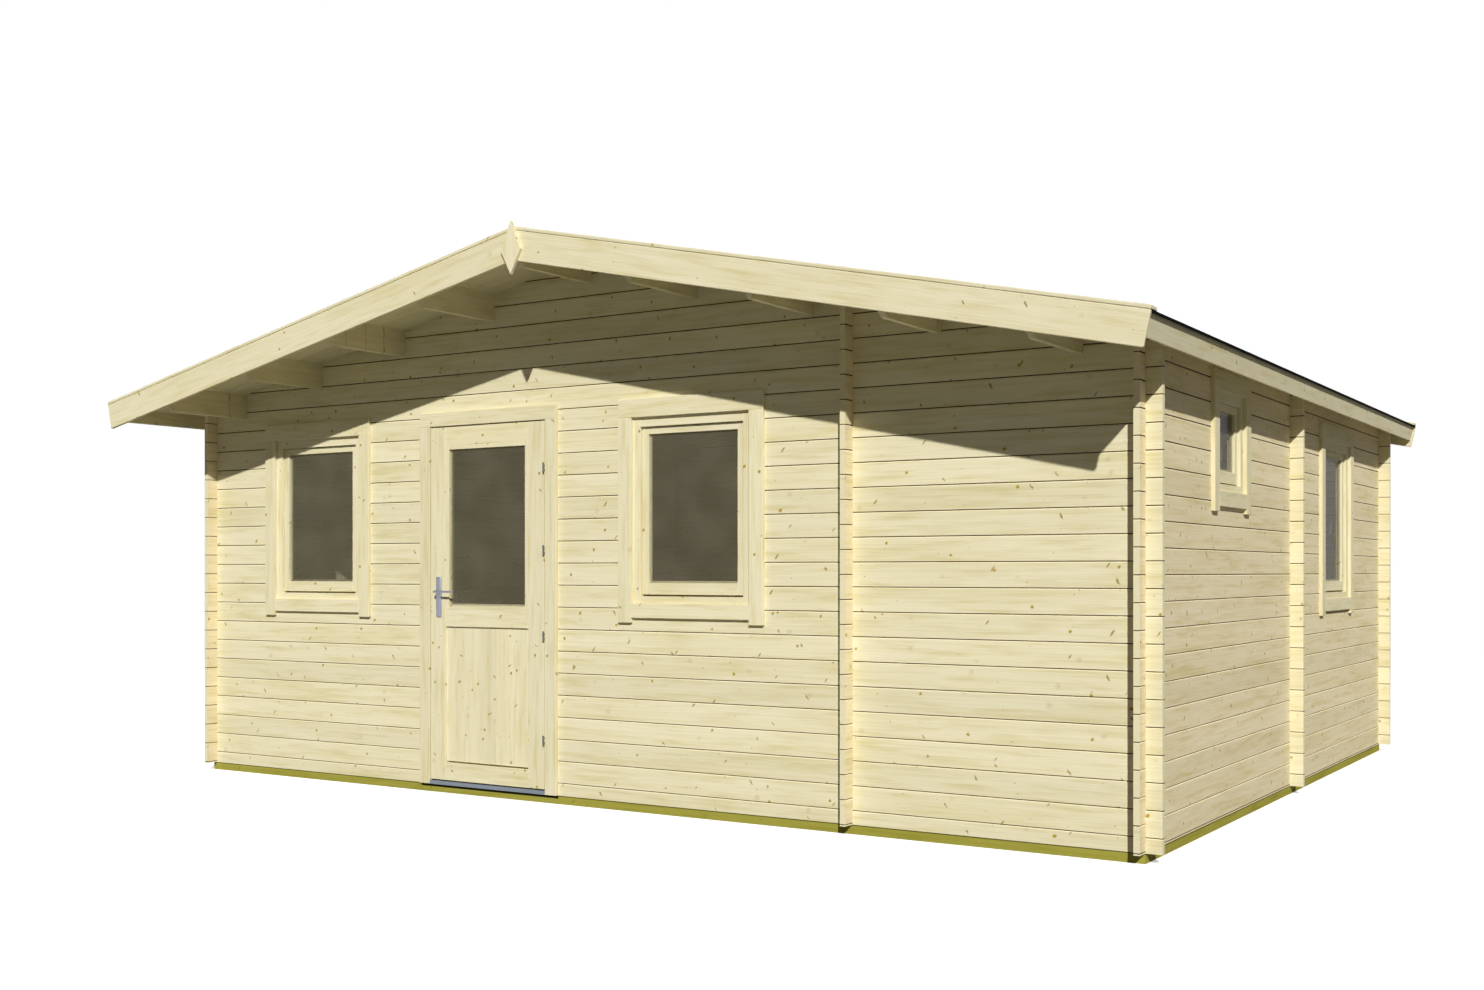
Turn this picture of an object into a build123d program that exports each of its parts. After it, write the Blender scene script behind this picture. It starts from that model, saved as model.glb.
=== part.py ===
"""Log cabin: notched log walls on a treated base, purlin roof, four windows and one hinged door.

Lengths are in millimetres. X runs along the front, Y from the front to the back, Z up.
The origin is on the ground, under the middle of the whole outline.
"""
import math
import os

from build123d import *

# Log walls
wall_width = 5805
wall_depth = 4890
log_thickness = 28
log_pitch = 114
log_end = 71
bottom_lip = 6
groove_height = 8
groove_depth = 4
notch_gap = 0.5
long_partition_x = 1518
cross_partition_share = 0.499
inner_door_width = 700
inner_door_height = 1920
overrun = 20

# Base and floor
base_height = 44
base_width = 70
base_joint_gap = 0.5
base_splice_share = 0.738
joist_width = 45
joist_count = 8
floor_thickness = 19
floor_gap = 5

# Roof
eave_over_head = 160
roof_pitch_deg = 12
eave_overhang = 198
front_overhang = 570
back_overhang = 85
roof_board_thickness = 18
felt_thickness = 7
felt_overhang = 15
purlin_thickness = 28
purlin_depth = 143
purlins_each_side = 4
purlin_span_share = 0.9026
purlin_gap = 0.5
purlin_taper_length = 48
purlin_taper_height = 40
bargeboard_thickness = 20
bargeboard_depth = 145
cover_strip_width = 80
cover_strip_thickness = 16
fascia_thickness = 18
fascia_height = 78
finial_thickness = 18
finial_width = 123
finial_height = 256
finial_rise = 22
finial_shoulder_share = 0.54

# Casings
casing_thickness = 20
casing_board = 80
head_board = 93
sill_board = 73
casing_drop = 25

# Windows
sash_width = 605
sash_height = 835
sash_drop = 65
small_sash_width = 375
small_sash_height = 376
small_sash_rise = 78
front_left_window_share = 0.5255
front_right_window_share = 0.483
small_window_share = 0.5125
tall_window_share = 0.451
sash_gap = 3
sash_foot_gap = 9
sash_set_back = 16
sash_thickness = 38
stile_width = 38
top_rail = 34
bottom_rail = 58
frame_member = 60
frame_depth = 64
frame_fit = 2
frame_lip = 12
casing_reveal_side = 47
casing_reveal_top = 51
casing_reveal_bottom = 44
glass_thickness = 4
glass_set_back = 12
glass_bite = 8
glass_gap = 0.3

# Door
door_x = -684
leaf_width = 800
leaf_height = 1920
leaf_thickness = 40
leaf_set_back = 4
leaf_stile = 108
glass_stop = 23
leaf_top_rail = 123
leaf_mid_rail = 115
leaf_bottom_rail = 97
door_glass_height = 846
door_gap = 7
sill_gap = 5
stop_gap = 5
stop_cover = 12
jamb_width = 36
frame_joint_gap = 0.3
door_frame_depth = 66
door_casing_board = 75
threshold_height = 22
panel_thickness = 20
panel_set_back = 12
panel_bite = 10
panel_boards = 5
panel_groove = 3

# Door hinges
knuckle_radius = 6
knuckle_height = 26
knuckle_stand_off = 8
hinge_play = 0.3
lug_reach = 11
lug_depth = 12
lug_height = 18
hinge_height_shares = (0.133, 0.416, 0.649, 0.873)

# Door handle
handle_x_inset = 60
handle_height = 1096
plate_width = 37
plate_height = 218
plate_thickness = 6
plate_drop = 29
plate_corner = 6
spindle_side = 6
spindle_play = 0.3
neck_radius = 7
lever_reach = 125
lever_height = 12
lever_thickness = 11
lever_stand_off = 42

# Places that follow from the sizes above
slope = math.tan(math.radians(roof_pitch_deg))
slope_cos = math.cos(math.radians(roof_pitch_deg))
slope_sin = math.sin(math.radians(roof_pitch_deg))
half_width = wall_width / 2
front_reach = front_overhang + bargeboard_thickness + finial_thickness
back_reach = back_overhang + bargeboard_thickness + finial_thickness
front_face = front_reach - (front_reach + wall_depth + back_reach) / 2
back_face = front_face + wall_depth
roof_front = front_face - front_overhang
roof_back = back_face + back_overhang
roof_edge = half_width + eave_overhang
felt_edge = roof_edge + felt_overhang
front_seam = base_height + bottom_lip + log_pitch / 2
side_seam = base_height + bottom_lip + log_pitch
left_face = near_face = -1
right_face = far_face = 1
notch_reach = log_thickness / 2 + notch_gap
notch_depth = log_thickness / 2 + overrun
left_wall_x = -half_width + log_thickness / 2
right_wall_x = half_width - log_thickness / 2
front_wall_y = front_face + log_thickness / 2
back_wall_y = back_face - log_thickness / 2
cross_wall_y = front_face + wall_depth * cross_partition_share
inner_door_middles = ((front_face + cross_wall_y) / 2, (cross_wall_y + back_face) / 2)
floor_top = base_height + floor_thickness
leaf_bottom = base_height + threshold_height + sill_gap
leaf_top = leaf_bottom + leaf_height
head_courses = math.ceil((leaf_top + door_gap + jamb_width - front_seam) / log_pitch)
door_head = front_seam + log_pitch * head_courses
ridge_under = door_head + eave_over_head + half_width * slope
purlin_spacing = half_width * purlin_span_share / purlins_each_side
leaf_front = front_face - casing_thickness + leaf_set_back
door_half_opening = leaf_width / 2 + door_gap + jamb_width
door_half_casing = leaf_width / 2 + door_gap + door_casing_board
sash_bottom = leaf_top - sash_drop - sash_height
small_sash_bottom = leaf_top - sash_drop + small_sash_rise - small_sash_height
hinge_x = door_x + leaf_width / 2 + door_gap / 2
hinge_y = front_face - casing_thickness - knuckle_stand_off
spindle_x = door_x - leaf_width / 2 + handle_x_inset
spindle_bore = math.hypot(spindle_side, spindle_side) / 2 + spindle_play


def roof_line(x, lift=0):
    """Height of the roof boards' underside at x, raised square to the slope by lift."""
    return ridge_under - abs(x) * slope + lift / slope_cos


def block(x_range, y_range, z_range):
    """Box between three pairs of limits."""
    sizes = [high - low for low, high in (x_range, y_range, z_range)]
    corner = Pos(x_range[0], y_range[0], z_range[0])
    return corner * Box(*sizes, align=(Align.MIN, Align.MIN, Align.MIN))


def prism_y(outline, y_range):
    """Outline of (x, z) corners carried from one y to another."""
    wire = Wire.make_polygon([(x, y_range[0], z) for x, z in outline])
    return extrude(Face(wire), amount=y_range[1] - y_range[0], dir=(0, 1, 0))


def prism_x(outline, x_range):
    """Outline of (y, z) corners carried from one x to another."""
    wire = Wire.make_polygon([(x_range[0], y, z) for y, z in outline])
    return extrude(Face(wire), amount=x_range[1] - x_range[0], dir=(1, 0, 0))


def save(name, *solids):
    """Write the solids of one piece as one file."""
    shape = solids[0] if len(solids) == 1 else Compound(list(solids))
    export_step(shape, os.path.join("parts", name + ".step"))


def seams_to(first, top):
    """Heights of the joints between logs, from the first one up to top."""
    count = int((top - first) // log_pitch) + 1
    return [first + log_pitch * step for step in range(count)]


def grooved_side(seams, bottom, top):
    """Depth and height of the corners of one log face, with a V groove at each seam."""
    half = groove_height / 2
    corners = [] if bottom in seams else [(0, bottom)]
    for seam in seams:
        for offset, depth in ((-half, 0), (0, groove_depth), (half, 0)):
            if bottom <= seam + offset <= top:
                corners.append((depth, seam + offset))
    if top not in seams:
        corners.append((0, top))
    return corners


def log_section(middle, seams, bottom, top, face):
    """Section of stacked logs about the wall's middle line, grooved on the face side, -1 or 1."""
    half = log_thickness / 2
    side = grooved_side(seams, bottom, top)
    grooved = [(middle + face * (half - depth), height) for depth, height in side]
    plain = middle - face * half
    return grooved + [(plain, top), (plain, bottom)]


def notch_heights(first, top):
    """Lower half of each log, which sits over the upper half of a crossing log."""
    height = log_pitch / 2 + notch_gap
    return [(seam, seam + height) for seam in seams_to(first, top + log_pitch)]


def notches_along_x(top, x_middle, y_middle):
    """Notches in a wall that runs along X where a wall that runs along Y crosses it."""
    across = (x_middle - notch_reach, x_middle + notch_reach)
    through = (y_middle - notch_depth, y_middle + notch_depth)
    return [block(across, through, heights) for heights in notch_heights(front_seam, top)]


def notches_along_y(top, x_middle, y_middle):
    """Notches in a wall that runs along Y; the lowest one lets the first half log through."""
    across = (y_middle - notch_reach, y_middle + notch_reach)
    through = (x_middle - notch_depth, x_middle + notch_depth)
    heights = [(0, front_seam + notch_gap)] + notch_heights(side_seam, top)
    return [block(through, across, height) for height in heights]


def under_roof():
    """Everything below the roof boards, to trim the walls to the slope."""
    outline = [
        (-felt_edge, 0),
        (felt_edge, 0),
        (felt_edge, roof_line(felt_edge)),
        (0, ridge_under),
        (-felt_edge, roof_line(felt_edge)),
    ]
    return prism_y(outline, (roof_front, roof_back))


def purlin_places():
    """Middle lines of the purlins, from left to right."""
    steps = range(-purlins_each_side, purlins_each_side + 1)
    return [step * purlin_spacing for step in steps]


def purlin_seats(y_middle):
    """Slots that let the purlins through a wall that runs along X."""
    reach = purlin_thickness / 2 + purlin_gap
    wide = log_thickness / 2 + overrun
    return [
        block(
            (x - reach, x + reach),
            (y_middle - wide, y_middle + wide),
            (roof_line(x) - purlin_depth, ridge_under + overrun),
        )
        for x in purlin_places()
    ]


def wall_along_x(x_range, z_range, y_middle, face, crossings):
    """Log wall that runs along X, notched where the other walls and the purlins cross it."""
    bottom, top = z_range
    seams = seams_to(front_seam, top)
    wall = prism_x(log_section(y_middle, seams, bottom, top, face), x_range)
    wall = wall & under_roof()
    seats = purlin_seats(y_middle)
    for x in crossings:
        seats += notches_along_x(top, x, y_middle)
    return wall - seats


def wall_along_y(y_range, z_range, x_middle, face, crossings):
    """Log wall that runs along Y, notched where the other walls cross it."""
    bottom, top = z_range
    seams = seams_to(side_seam, top)
    wall = prism_y(log_section(x_middle, seams, bottom, top, face), y_range)
    wall = wall & under_roof()
    seats = []
    for y in crossings:
        seats += notches_along_y(top, x_middle, y)
    return wall - seats


def between(start, end, share):
    """Place at a share of the way from start to end."""
    return start + (end - start) * share


def window_place(name):
    """Place and sash size of one window: location, width, height and sill height."""
    left_x = between(-half_width, door_x - door_half_casing, front_left_window_share)
    right_x = between(door_x + door_half_casing, long_partition_x, front_right_window_share)
    small_y = between(front_face, cross_wall_y, small_window_share)
    tall_y = between(cross_wall_y, back_face, tall_window_share)
    turn = Rot(0, 0, 90)
    large = (sash_width, sash_height, sash_bottom)
    small = (small_sash_width, small_sash_height, small_sash_bottom)
    places = {
        "front_left": (Pos(left_x, front_face, 0), *large),
        "front_right": (Pos(right_x, front_face, 0), *large),
        "right_tall": (Pos(half_width, tall_y, 0) * turn, *large),
        "right_small": (Pos(half_width, small_y, 0) * turn, *small),
    }
    return places[name]


def around_sash(width, height, bottom, side, top, below, y_range):
    """Box round a sash, wider by side, higher by top and lower by below."""
    half = width / 2 + side
    return block((-half, half), y_range, (bottom - below, bottom + height + top))


def window_opening(name):
    """Hole in the log wall for one window frame."""
    place, width, height, bottom = window_place(name)
    margin = sash_gap + frame_member + frame_fit
    depth = (-overrun, log_thickness + overrun)
    return place * around_sash(width, height, bottom, margin, margin, margin, depth)


def window_casing(name):
    """Outer boards: a head over the whole width, two long sides and a sill board between them."""
    place, width, height, bottom = window_place(name)
    depth = (-casing_thickness, 0)
    below = casing_reveal_bottom + sill_board
    inner_half = width / 2 + casing_reveal_side
    outer_half = inner_half + casing_board
    head = bottom + height + casing_reveal_top
    sill = bottom - casing_reveal_bottom
    foot = bottom - below - casing_drop
    boards = block((-outer_half, outer_half), depth, (foot, head + head_board))
    opening = block((-inner_half, inner_half), (-casing_thickness - overrun, overrun), (sill, head))
    under_sill = block(
        (-inner_half, inner_half), (-casing_thickness - overrun, overrun), (foot - overrun, bottom - below)
    )
    return place * (boards - opening - under_sill)


def window_frame(name):
    """Fixed frame through the wall, with a lip behind the sash."""
    place, width, height, bottom = window_place(name)
    margin = sash_gap + frame_member
    lip_front = sash_set_back + sash_thickness
    outer = around_sash(width, height, bottom, margin, margin, margin, (0, frame_depth))
    pocket = around_sash(
        width, height, bottom, sash_gap, sash_gap, sash_foot_gap, (-overrun, lip_front)
    )
    through = around_sash(
        width, height, bottom, -frame_lip, -frame_lip, -frame_lip, (-overrun, frame_depth + overrun)
    )
    return place * (outer - pocket - through)


def pane(width, height, bottom, grow):
    """Glass of one sash, grown by grow past its edges."""
    front = sash_set_back + glass_set_back
    side = glass_bite - stile_width + grow
    top = glass_bite - top_rail + grow
    below = glass_bite - bottom_rail + grow
    return around_sash(width, height, bottom, side, top, below, (front, front + glass_thickness))


def window_sash(name):
    """Stiles and rails, grooved for the glass."""
    place, width, height, bottom = window_place(name)
    depth = (sash_set_back, sash_set_back + sash_thickness)
    ring = around_sash(width, height, bottom, 0, 0, 0, depth)
    through = around_sash(
        width, height, bottom, -stile_width, -top_rail, -bottom_rail,
        (-overrun, frame_depth + overrun),
    )
    return place * (ring - through - pane(width, height, bottom, glass_gap))


def window_glass(name):
    """Pane that sits in the sash groove."""
    place, width, height, bottom = window_place(name)
    return place * pane(width, height, bottom, 0)


window_names = ("front_left", "front_right", "right_tall", "right_small")


def long_partition(y_ends, top, crossed):
    """Partition from front to back: three lengths beside two plain doorways, and the logs over them."""
    courses = math.ceil((floor_top + inner_door_height - side_seam) / log_pitch)
    head = side_seam + log_pitch * courses
    edges = [y_ends[0]]
    for middle in inner_door_middles:
        edges.append(middle - inner_door_width / 2)
        edges.append(middle + inner_door_width / 2)
    edges.append(y_ends[1])
    for number, name in enumerate(("front", "middle", "back")):
        span = (edges[number + number], edges[number + number + 1])
        piece = wall_along_y(span, (base_height, head), long_partition_x, right_face, crossed)
        save("long_partition_" + name, piece)
    over = wall_along_y(y_ends, (head, top), long_partition_x, right_face, crossed)
    save("long_partition_head", over)


def walls():
    """Outer walls and partitions, each trimmed to the roof and notched at its crossings."""
    x_ends = (-half_width - log_end, half_width + log_end)
    y_ends = (front_face - log_end, back_face + log_end)
    ridge_top = ridge_under + overrun
    eave_top = roof_line(half_width - log_thickness) + overrun
    partition_top = roof_line(long_partition_x - log_thickness) + overrun
    door_left = door_x - door_half_opening
    door_right = door_x + door_half_opening
    corners_x = (left_wall_x, right_wall_x, long_partition_x)
    below_head = (base_height, door_head)
    left = wall_along_x((x_ends[0], door_left), below_head, front_wall_y, near_face, corners_x)
    right = wall_along_x((door_right, x_ends[1]), below_head, front_wall_y, near_face, corners_x)
    gable = wall_along_x(x_ends, (door_head, ridge_top), front_wall_y, near_face, corners_x)
    back = wall_along_x(x_ends, (base_height, ridge_top), back_wall_y, far_face, corners_x)
    save("front_wall_left", left - window_opening("front_left"))
    save("front_wall_right", right - window_opening("front_right"))
    save("front_gable", gable - window_opening("front_left") - window_opening("front_right"))
    save("back_wall", back)
    ends = (front_wall_y, back_wall_y)
    crossed = (front_wall_y, cross_wall_y, back_wall_y)
    below_eave = (base_height, eave_top)
    save("left_wall", wall_along_y(y_ends, below_eave, left_wall_x, left_face, ends))
    side = wall_along_y(y_ends, below_eave, right_wall_x, right_face, crossed)
    save("right_wall", side - window_opening("right_tall") - window_opening("right_small"))
    long_partition(y_ends, partition_top, crossed)
    cross_ends = (long_partition_x - log_thickness / 2 - log_end, x_ends[1])
    crossings = (long_partition_x, right_wall_x)
    cross = wall_along_x(
        cross_ends, (base_height, partition_top), cross_wall_y, near_face, crossings
    )
    save("cross_partition", cross)


def base():
    """Treated beams under the outer walls, and joists under the floor."""
    heights = (0, base_height)
    left, right = -half_width, half_width
    front_inner = front_face + base_width
    back_inner = back_face - base_width
    clear = (front_inner + base_joint_gap, back_inner - base_joint_gap)
    splice = between(front_face, back_face, base_splice_share)
    beams = [
        block((left, right), (front_face, front_inner), heights),
        block((left, right), (back_inner, back_face), heights),
    ]
    for x_range in ((left, left + base_width), (right - base_width, right)):
        beams.append(block(x_range, (clear[0], splice), heights))
        beams.append(block(x_range, (splice + base_joint_gap, clear[1]), heights))
    first = left + base_width
    step = (right - base_width - first) / (joist_count + 1)
    for number in range(joist_count):
        middle = first + step * (number + 1)
        beams.append(block((middle - joist_width / 2, middle + joist_width / 2), clear, heights))
    save("foundation_beams", *beams)


def floor():
    """Boards laid in each room, clear of the log walls."""
    heights = (base_height, floor_top)
    margin = log_thickness / 2 + floor_gap
    left = left_wall_x + margin
    right = right_wall_x - margin
    front = front_wall_y + margin
    back = back_wall_y - margin
    sill_half = inner_door_width / 2 - floor_gap
    main = block((left, long_partition_x - margin), (front, back), heights)
    crossing = block(
        (long_partition_x - margin - log_end, long_partition_x),
        (cross_wall_y - margin, cross_wall_y + margin),
        (0, floor_top + overrun),
    )
    doorway = block(
        (door_x - door_half_opening - floor_gap, door_x + door_half_opening + floor_gap),
        (front_face, front_face + door_frame_depth + floor_gap),
        (0, floor_top + overrun),
    )
    sills = [
        block(
            (long_partition_x - margin, long_partition_x + margin - base_joint_gap),
            (middle - sill_half, middle + sill_half),
            heights,
        )
        for middle in inner_door_middles
    ]
    rooms = [
        main - crossing - doorway + sills,
        block((long_partition_x + margin, right), (front, cross_wall_y - margin), heights),
        block((long_partition_x + margin, right), (cross_wall_y + margin, back), heights),
    ]
    save("floor_boards", *rooms)


def purlin(x):
    """Beam from gable to gable, its top cut to the roof and its front end tapered below."""
    half = purlin_thickness / 2
    bottom = roof_line(x) - purlin_depth
    outline = [(x - half, bottom), (x + half, bottom), (x + half, roof_line(x + half))]
    if abs(x) < half:
        outline.append((0, ridge_under))
    outline.append((x - half, roof_line(x - half)))
    beam = prism_y(outline, (roof_front, roof_back))
    taper = [
        (roof_front - overrun, bottom - overrun),
        (roof_front + purlin_taper_length, bottom - overrun),
        (roof_front + purlin_taper_length, bottom),
        (roof_front, bottom + purlin_taper_height),
        (roof_front - overrun, bottom + purlin_taper_height),
    ]
    return beam - prism_x(taper, (x - purlin_thickness, x + purlin_thickness))


def sloped_slab(side, edge, low, high, y_range):
    """Slab on one roof slope from the ridge to edge, between two lifts above the underside."""
    outline = [
        (0, roof_line(0, low)),
        (side * edge, roof_line(edge, low)),
        (side * edge, roof_line(edge, high)),
        (0, roof_line(0, high)),
    ]
    return prism_y(outline, y_range)


def bargeboard(side, y_range):
    """Board along one gable slope, plumb at the ridge and square at the eave."""
    lift = roof_board_thickness + felt_thickness
    top = roof_line(felt_edge, lift)
    outline = [
        (0, roof_line(0, lift)),
        (side * felt_edge, top),
        (side * (felt_edge - bargeboard_depth * slope_sin), top - bargeboard_depth * slope_cos),
        (0, roof_line(0, lift - bargeboard_depth)),
    ]
    return prism_y(outline, y_range)


def cover_strip(y_range):
    """Flat strip over the bargeboards and the felt edge, joined at the ridge."""
    low = roof_board_thickness + felt_thickness
    high = low + cover_strip_thickness
    return sloped_slab(-1, felt_edge, low, high, y_range) + sloped_slab(1, felt_edge, low, high, y_range)


def finial(y_range):
    """Pointed board over the bargeboard joint."""
    top = roof_line(0, roof_board_thickness + felt_thickness + cover_strip_thickness) + finial_rise
    shoulder = top - finial_height * finial_shoulder_share
    half = finial_width / 2
    outline = [(0, top), (half, shoulder), (0, top - finial_height), (-half, shoulder)]
    return prism_y(outline, y_range)


def fascia(side):
    """Board along one eave, under the roof boards and square to them."""
    top = roof_line(roof_edge)
    across = (fascia_thickness * slope_cos, fascia_thickness * slope_sin)
    down = (fascia_height * slope_sin, fascia_height * slope_cos)
    outline = [
        (side * roof_edge, top),
        (side * (roof_edge - across[0]), top + across[1]),
        (side * (roof_edge - across[0] - down[0]), top + across[1] - down[1]),
        (side * (roof_edge - down[0]), top - down[1]),
    ]
    return prism_y(outline, (roof_front, roof_back))


def roof():
    """Purlins, boards, felt, bargeboards, cover strips, finials and eave fascias."""
    whole = (roof_front, roof_back)
    front = (roof_front - bargeboard_thickness, roof_front)
    back = (roof_back, roof_back + bargeboard_thickness)
    save("purlins", *[purlin(x) for x in purlin_places()])
    felt_top = roof_board_thickness + felt_thickness
    sheets = [
        sloped_slab(side, felt_edge, roof_board_thickness, felt_top, whole) for side in (-1, 1)
    ]
    save("roof_felt", sheets[0] + sheets[1])
    for side, name in ((-1, "left"), (1, "right")):
        save("roof_boards_" + name, sloped_slab(side, roof_edge, 0, roof_board_thickness, whole))
        save("front_bargeboard_" + name, bargeboard(side, front))
        save("back_bargeboard_" + name, bargeboard(side, back))
        save(name + "_eave_fascia", fascia(side))
    front_strip = cover_strip((front[0], front[0] + cover_strip_width))
    back_strip = cover_strip((back[1] - cover_strip_width, back[1]))
    save("bargeboard_cover_strips", front_strip, back_strip)
    front_finial = finial((front[0] - finial_thickness, front[0]))
    back_finial = finial((back[1], back[1] + finial_thickness))
    save("ridge_finials", front_finial, back_finial)


def windows():
    """Casing, frame and sash of each window, and all their panes."""
    for name in window_names:
        save(name + "_window_casing", window_casing(name))
        save(name + "_window_frame", window_frame(name))
        save(name + "_window_sash", window_sash(name))
    save("window_glass", *[window_glass(name) for name in window_names])


def portal(half, member, z_range, y_range):
    """Two uprights and the head over them: half is their clear half width, z_range foot and clear head."""
    foot, head = z_range
    left, right = door_x - half, door_x + half
    uprights = (foot, head - frame_joint_gap)
    return [
        block((left - member, left), y_range, uprights),
        block((right, right + member), y_range, uprights),
        block((left - member, right + member), y_range, (head, head + member)),
    ]


def door_surround():
    """Frame, stops, casing and metal threshold round the doorway."""
    sill = base_height + threshold_height
    clear = leaf_width / 2 + door_gap
    head = leaf_top + door_gap
    stop_front = leaf_front + leaf_thickness + stop_gap
    frame_back = front_face + door_frame_depth
    depth = (front_face, frame_back)
    save("door_frame", *portal(clear, jamb_width, (sill, head), depth))
    stop_width = door_gap + stop_cover - frame_joint_gap
    stops = portal(
        clear - stop_cover - door_gap, stop_width, (sill, leaf_top - stop_cover), (stop_front, frame_back)
    )
    save("door_stops", *stops)
    casing_depth = (front_face - casing_thickness, front_face)
    left, right, top = portal(clear, door_casing_board, (base_height, head), casing_depth)
    save("door_casing", left, right - frame_lug_seats(), top)
    plate = block((door_x - door_half_opening, door_x + door_half_opening), depth, (base_height, sill))
    nose = block((door_x - clear, door_x + clear), casing_depth, (base_height, sill))
    save("door_threshold", plate + nose)


def leaf_field(x_inset, z_range, y_range):
    """Box between the stiles of the leaf, drawn in by x_inset from the leaf's edges."""
    half = leaf_width / 2 - x_inset
    return block((door_x - half, door_x + half), y_range, z_range)


def door_leaf():
    """Stiles and rails with the glass and panel grooves, handle bore and hinge seats."""
    depth = (leaf_front, leaf_front + leaf_thickness)
    beyond = (leaf_front - overrun, leaf_front + leaf_thickness + overrun)
    glass_top = leaf_top - leaf_top_rail
    glass_bottom = glass_top - door_glass_height
    panel_top = glass_bottom - leaf_mid_rail
    panel_bottom = leaf_bottom + leaf_bottom_rail
    glass_front = leaf_front + glass_set_back
    glass_depth = (glass_front, glass_front + glass_thickness)
    panel_depth = (leaf_front + panel_set_back, leaf_front + panel_set_back + panel_thickness)
    leaf = leaf_field(0, (leaf_bottom, leaf_top), depth)
    leaf -= leaf_field(leaf_stile + glass_stop, (glass_bottom, glass_top), beyond)
    leaf -= leaf_field(leaf_stile, (panel_bottom, panel_top), beyond)
    glass_heights = (glass_bottom - glass_bite, glass_top + glass_bite)
    panel_heights = (panel_bottom - panel_bite, panel_top + panel_bite)
    glass = leaf_field(leaf_stile + glass_stop - glass_bite, glass_heights, glass_depth)
    board = leaf_field(leaf_stile - panel_bite, panel_heights, panel_depth)
    bore = Pos(spindle_x, leaf_front + leaf_thickness / 2, handle_height) * Rot(90, 0, 0)
    bore *= Cylinder(spindle_bore, leaf_thickness + overrun)
    leaf = leaf - glass - board - bore - leaf_lug_seats()
    save("door_leaf", leaf)
    save("door_glass", glass)
    save("door_panel", board - panel_grooves(panel_depth, panel_heights))


def panel_grooves(depth, heights):
    """V grooves between the upright boards of the lower panel, on both faces."""
    width = leaf_width - (leaf_stile + leaf_stile)
    left = door_x - width / 2
    cuts = []
    for number in range(1, panel_boards):
        x = left + width * number / panel_boards
        for y in depth:
            bar = Box(panel_groove, panel_groove, heights[1] - heights[0] + overrun)
            cuts.append(Pos(x, y, (heights[0] + heights[1]) / 2) * Rot(0, 0, 45) * bar)
    return cuts


def hinge_heights():
    """Heights of the joints between the upper and lower knuckles."""
    return [leaf_bottom + leaf_height * share for share in hinge_height_shares]


def lug(side, height, grow):
    """Arm from a knuckle back into the wood on one side of the door gap."""
    back = (leaf_front if side < 0 else front_face - casing_thickness) + lug_depth + grow
    x_range = sorted((hinge_x, hinge_x + side * (lug_reach + grow)))
    half = lug_height / 2 + grow
    return block(x_range, (hinge_y, back), (height - half, height + half))


def lug_middles(side):
    """Heights of the arms: the leaf's are on the upper knuckles, the frame's on the lower."""
    shift = knuckle_height / 2
    return [height - side * shift for height in hinge_heights()]


def leaf_lug_seats():
    """Mortises in the leaf for the hinge arms."""
    return [lug(-1, height, hinge_play) for height in lug_middles(-1)]


def frame_lug_seats():
    """Mortises in the casing and frame for the hinge arms."""
    return [lug(1, height, hinge_play) for height in lug_middles(1)]


def hinges():
    """Knuckles in pairs on one axis: the leaf's stand on the frame's."""
    barrel = Cylinder(knuckle_radius, knuckle_height - hinge_play)
    for side, name in ((1, "frame"), (-1, "leaf")):
        knuckles = [
            Pos(hinge_x, hinge_y, height) * barrel + lug(side, height, 0) for height in lug_middles(side)
        ]
        save(name + "_hinge_knuckles", *knuckles)


def handle_plate(face, outward):
    """Long plate on one face of the leaf, bored for the lever's neck."""
    y_range = sorted((face, face + outward * plate_thickness))
    top = handle_height - plate_drop + plate_height / 2
    plate = block(
        (spindle_x - plate_width / 2, spindle_x + plate_width / 2), y_range, (top - plate_height, top)
    )
    plate = fillet(plate.edges().filter_by(Axis.Y), plate_corner)
    bore = Pos(spindle_x, face, handle_height) * Rot(90, 0, 0)
    return plate - bore * Cylinder(neck_radius + spindle_play, plate_thickness + overrun)


def lever_arm(face, outward):
    """Round neck that leaves the plate and a flat arm with round ends that points along the leaf."""
    reach = lever_stand_off + plate_thickness
    middle = face + outward * reach / 2
    neck = Pos(spindle_x, middle, handle_height) * Rot(90, 0, 0) * Cylinder(neck_radius, reach)
    arm_place = Pos(spindle_x + lever_reach / 2, face + outward * reach, handle_height) * Rot(90, 0, 0)
    arm = extrude(SlotCenterToCenter(lever_reach, lever_height), amount=lever_thickness / 2, both=True)
    return neck + arm_place * arm


def handle():
    """Plates on both faces and the pair of levers on their spindle."""
    faces = ((leaf_front, -1), (leaf_front + leaf_thickness, 1))
    save("door_handle_plates", *[handle_plate(face, outward) for face, outward in faces])
    spindle = Pos(spindle_x, leaf_front + leaf_thickness / 2, handle_height)
    lever = spindle * Box(spindle_side, leaf_thickness, spindle_side)
    for face, outward in faces:
        lever += lever_arm(face, outward)
    save("door_lever", lever)


os.makedirs("parts", exist_ok=True)
base()
floor()
walls()
roof()
windows()
door_surround()
door_leaf()
hinges()
handle()
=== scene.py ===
# %% [markdown]
# # A log cabin, dressed for its picture
#
# The cabin's walls, roof and moving door already exist as solid parts. This lesson gives them
# the look of pale spruce, green treated timber, black felt, glass and grey metal. Flat boards
# that meet at corners are made again as separate planks, so that the grain can turn with each one.

# %% Load the solid parts
import math

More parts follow.
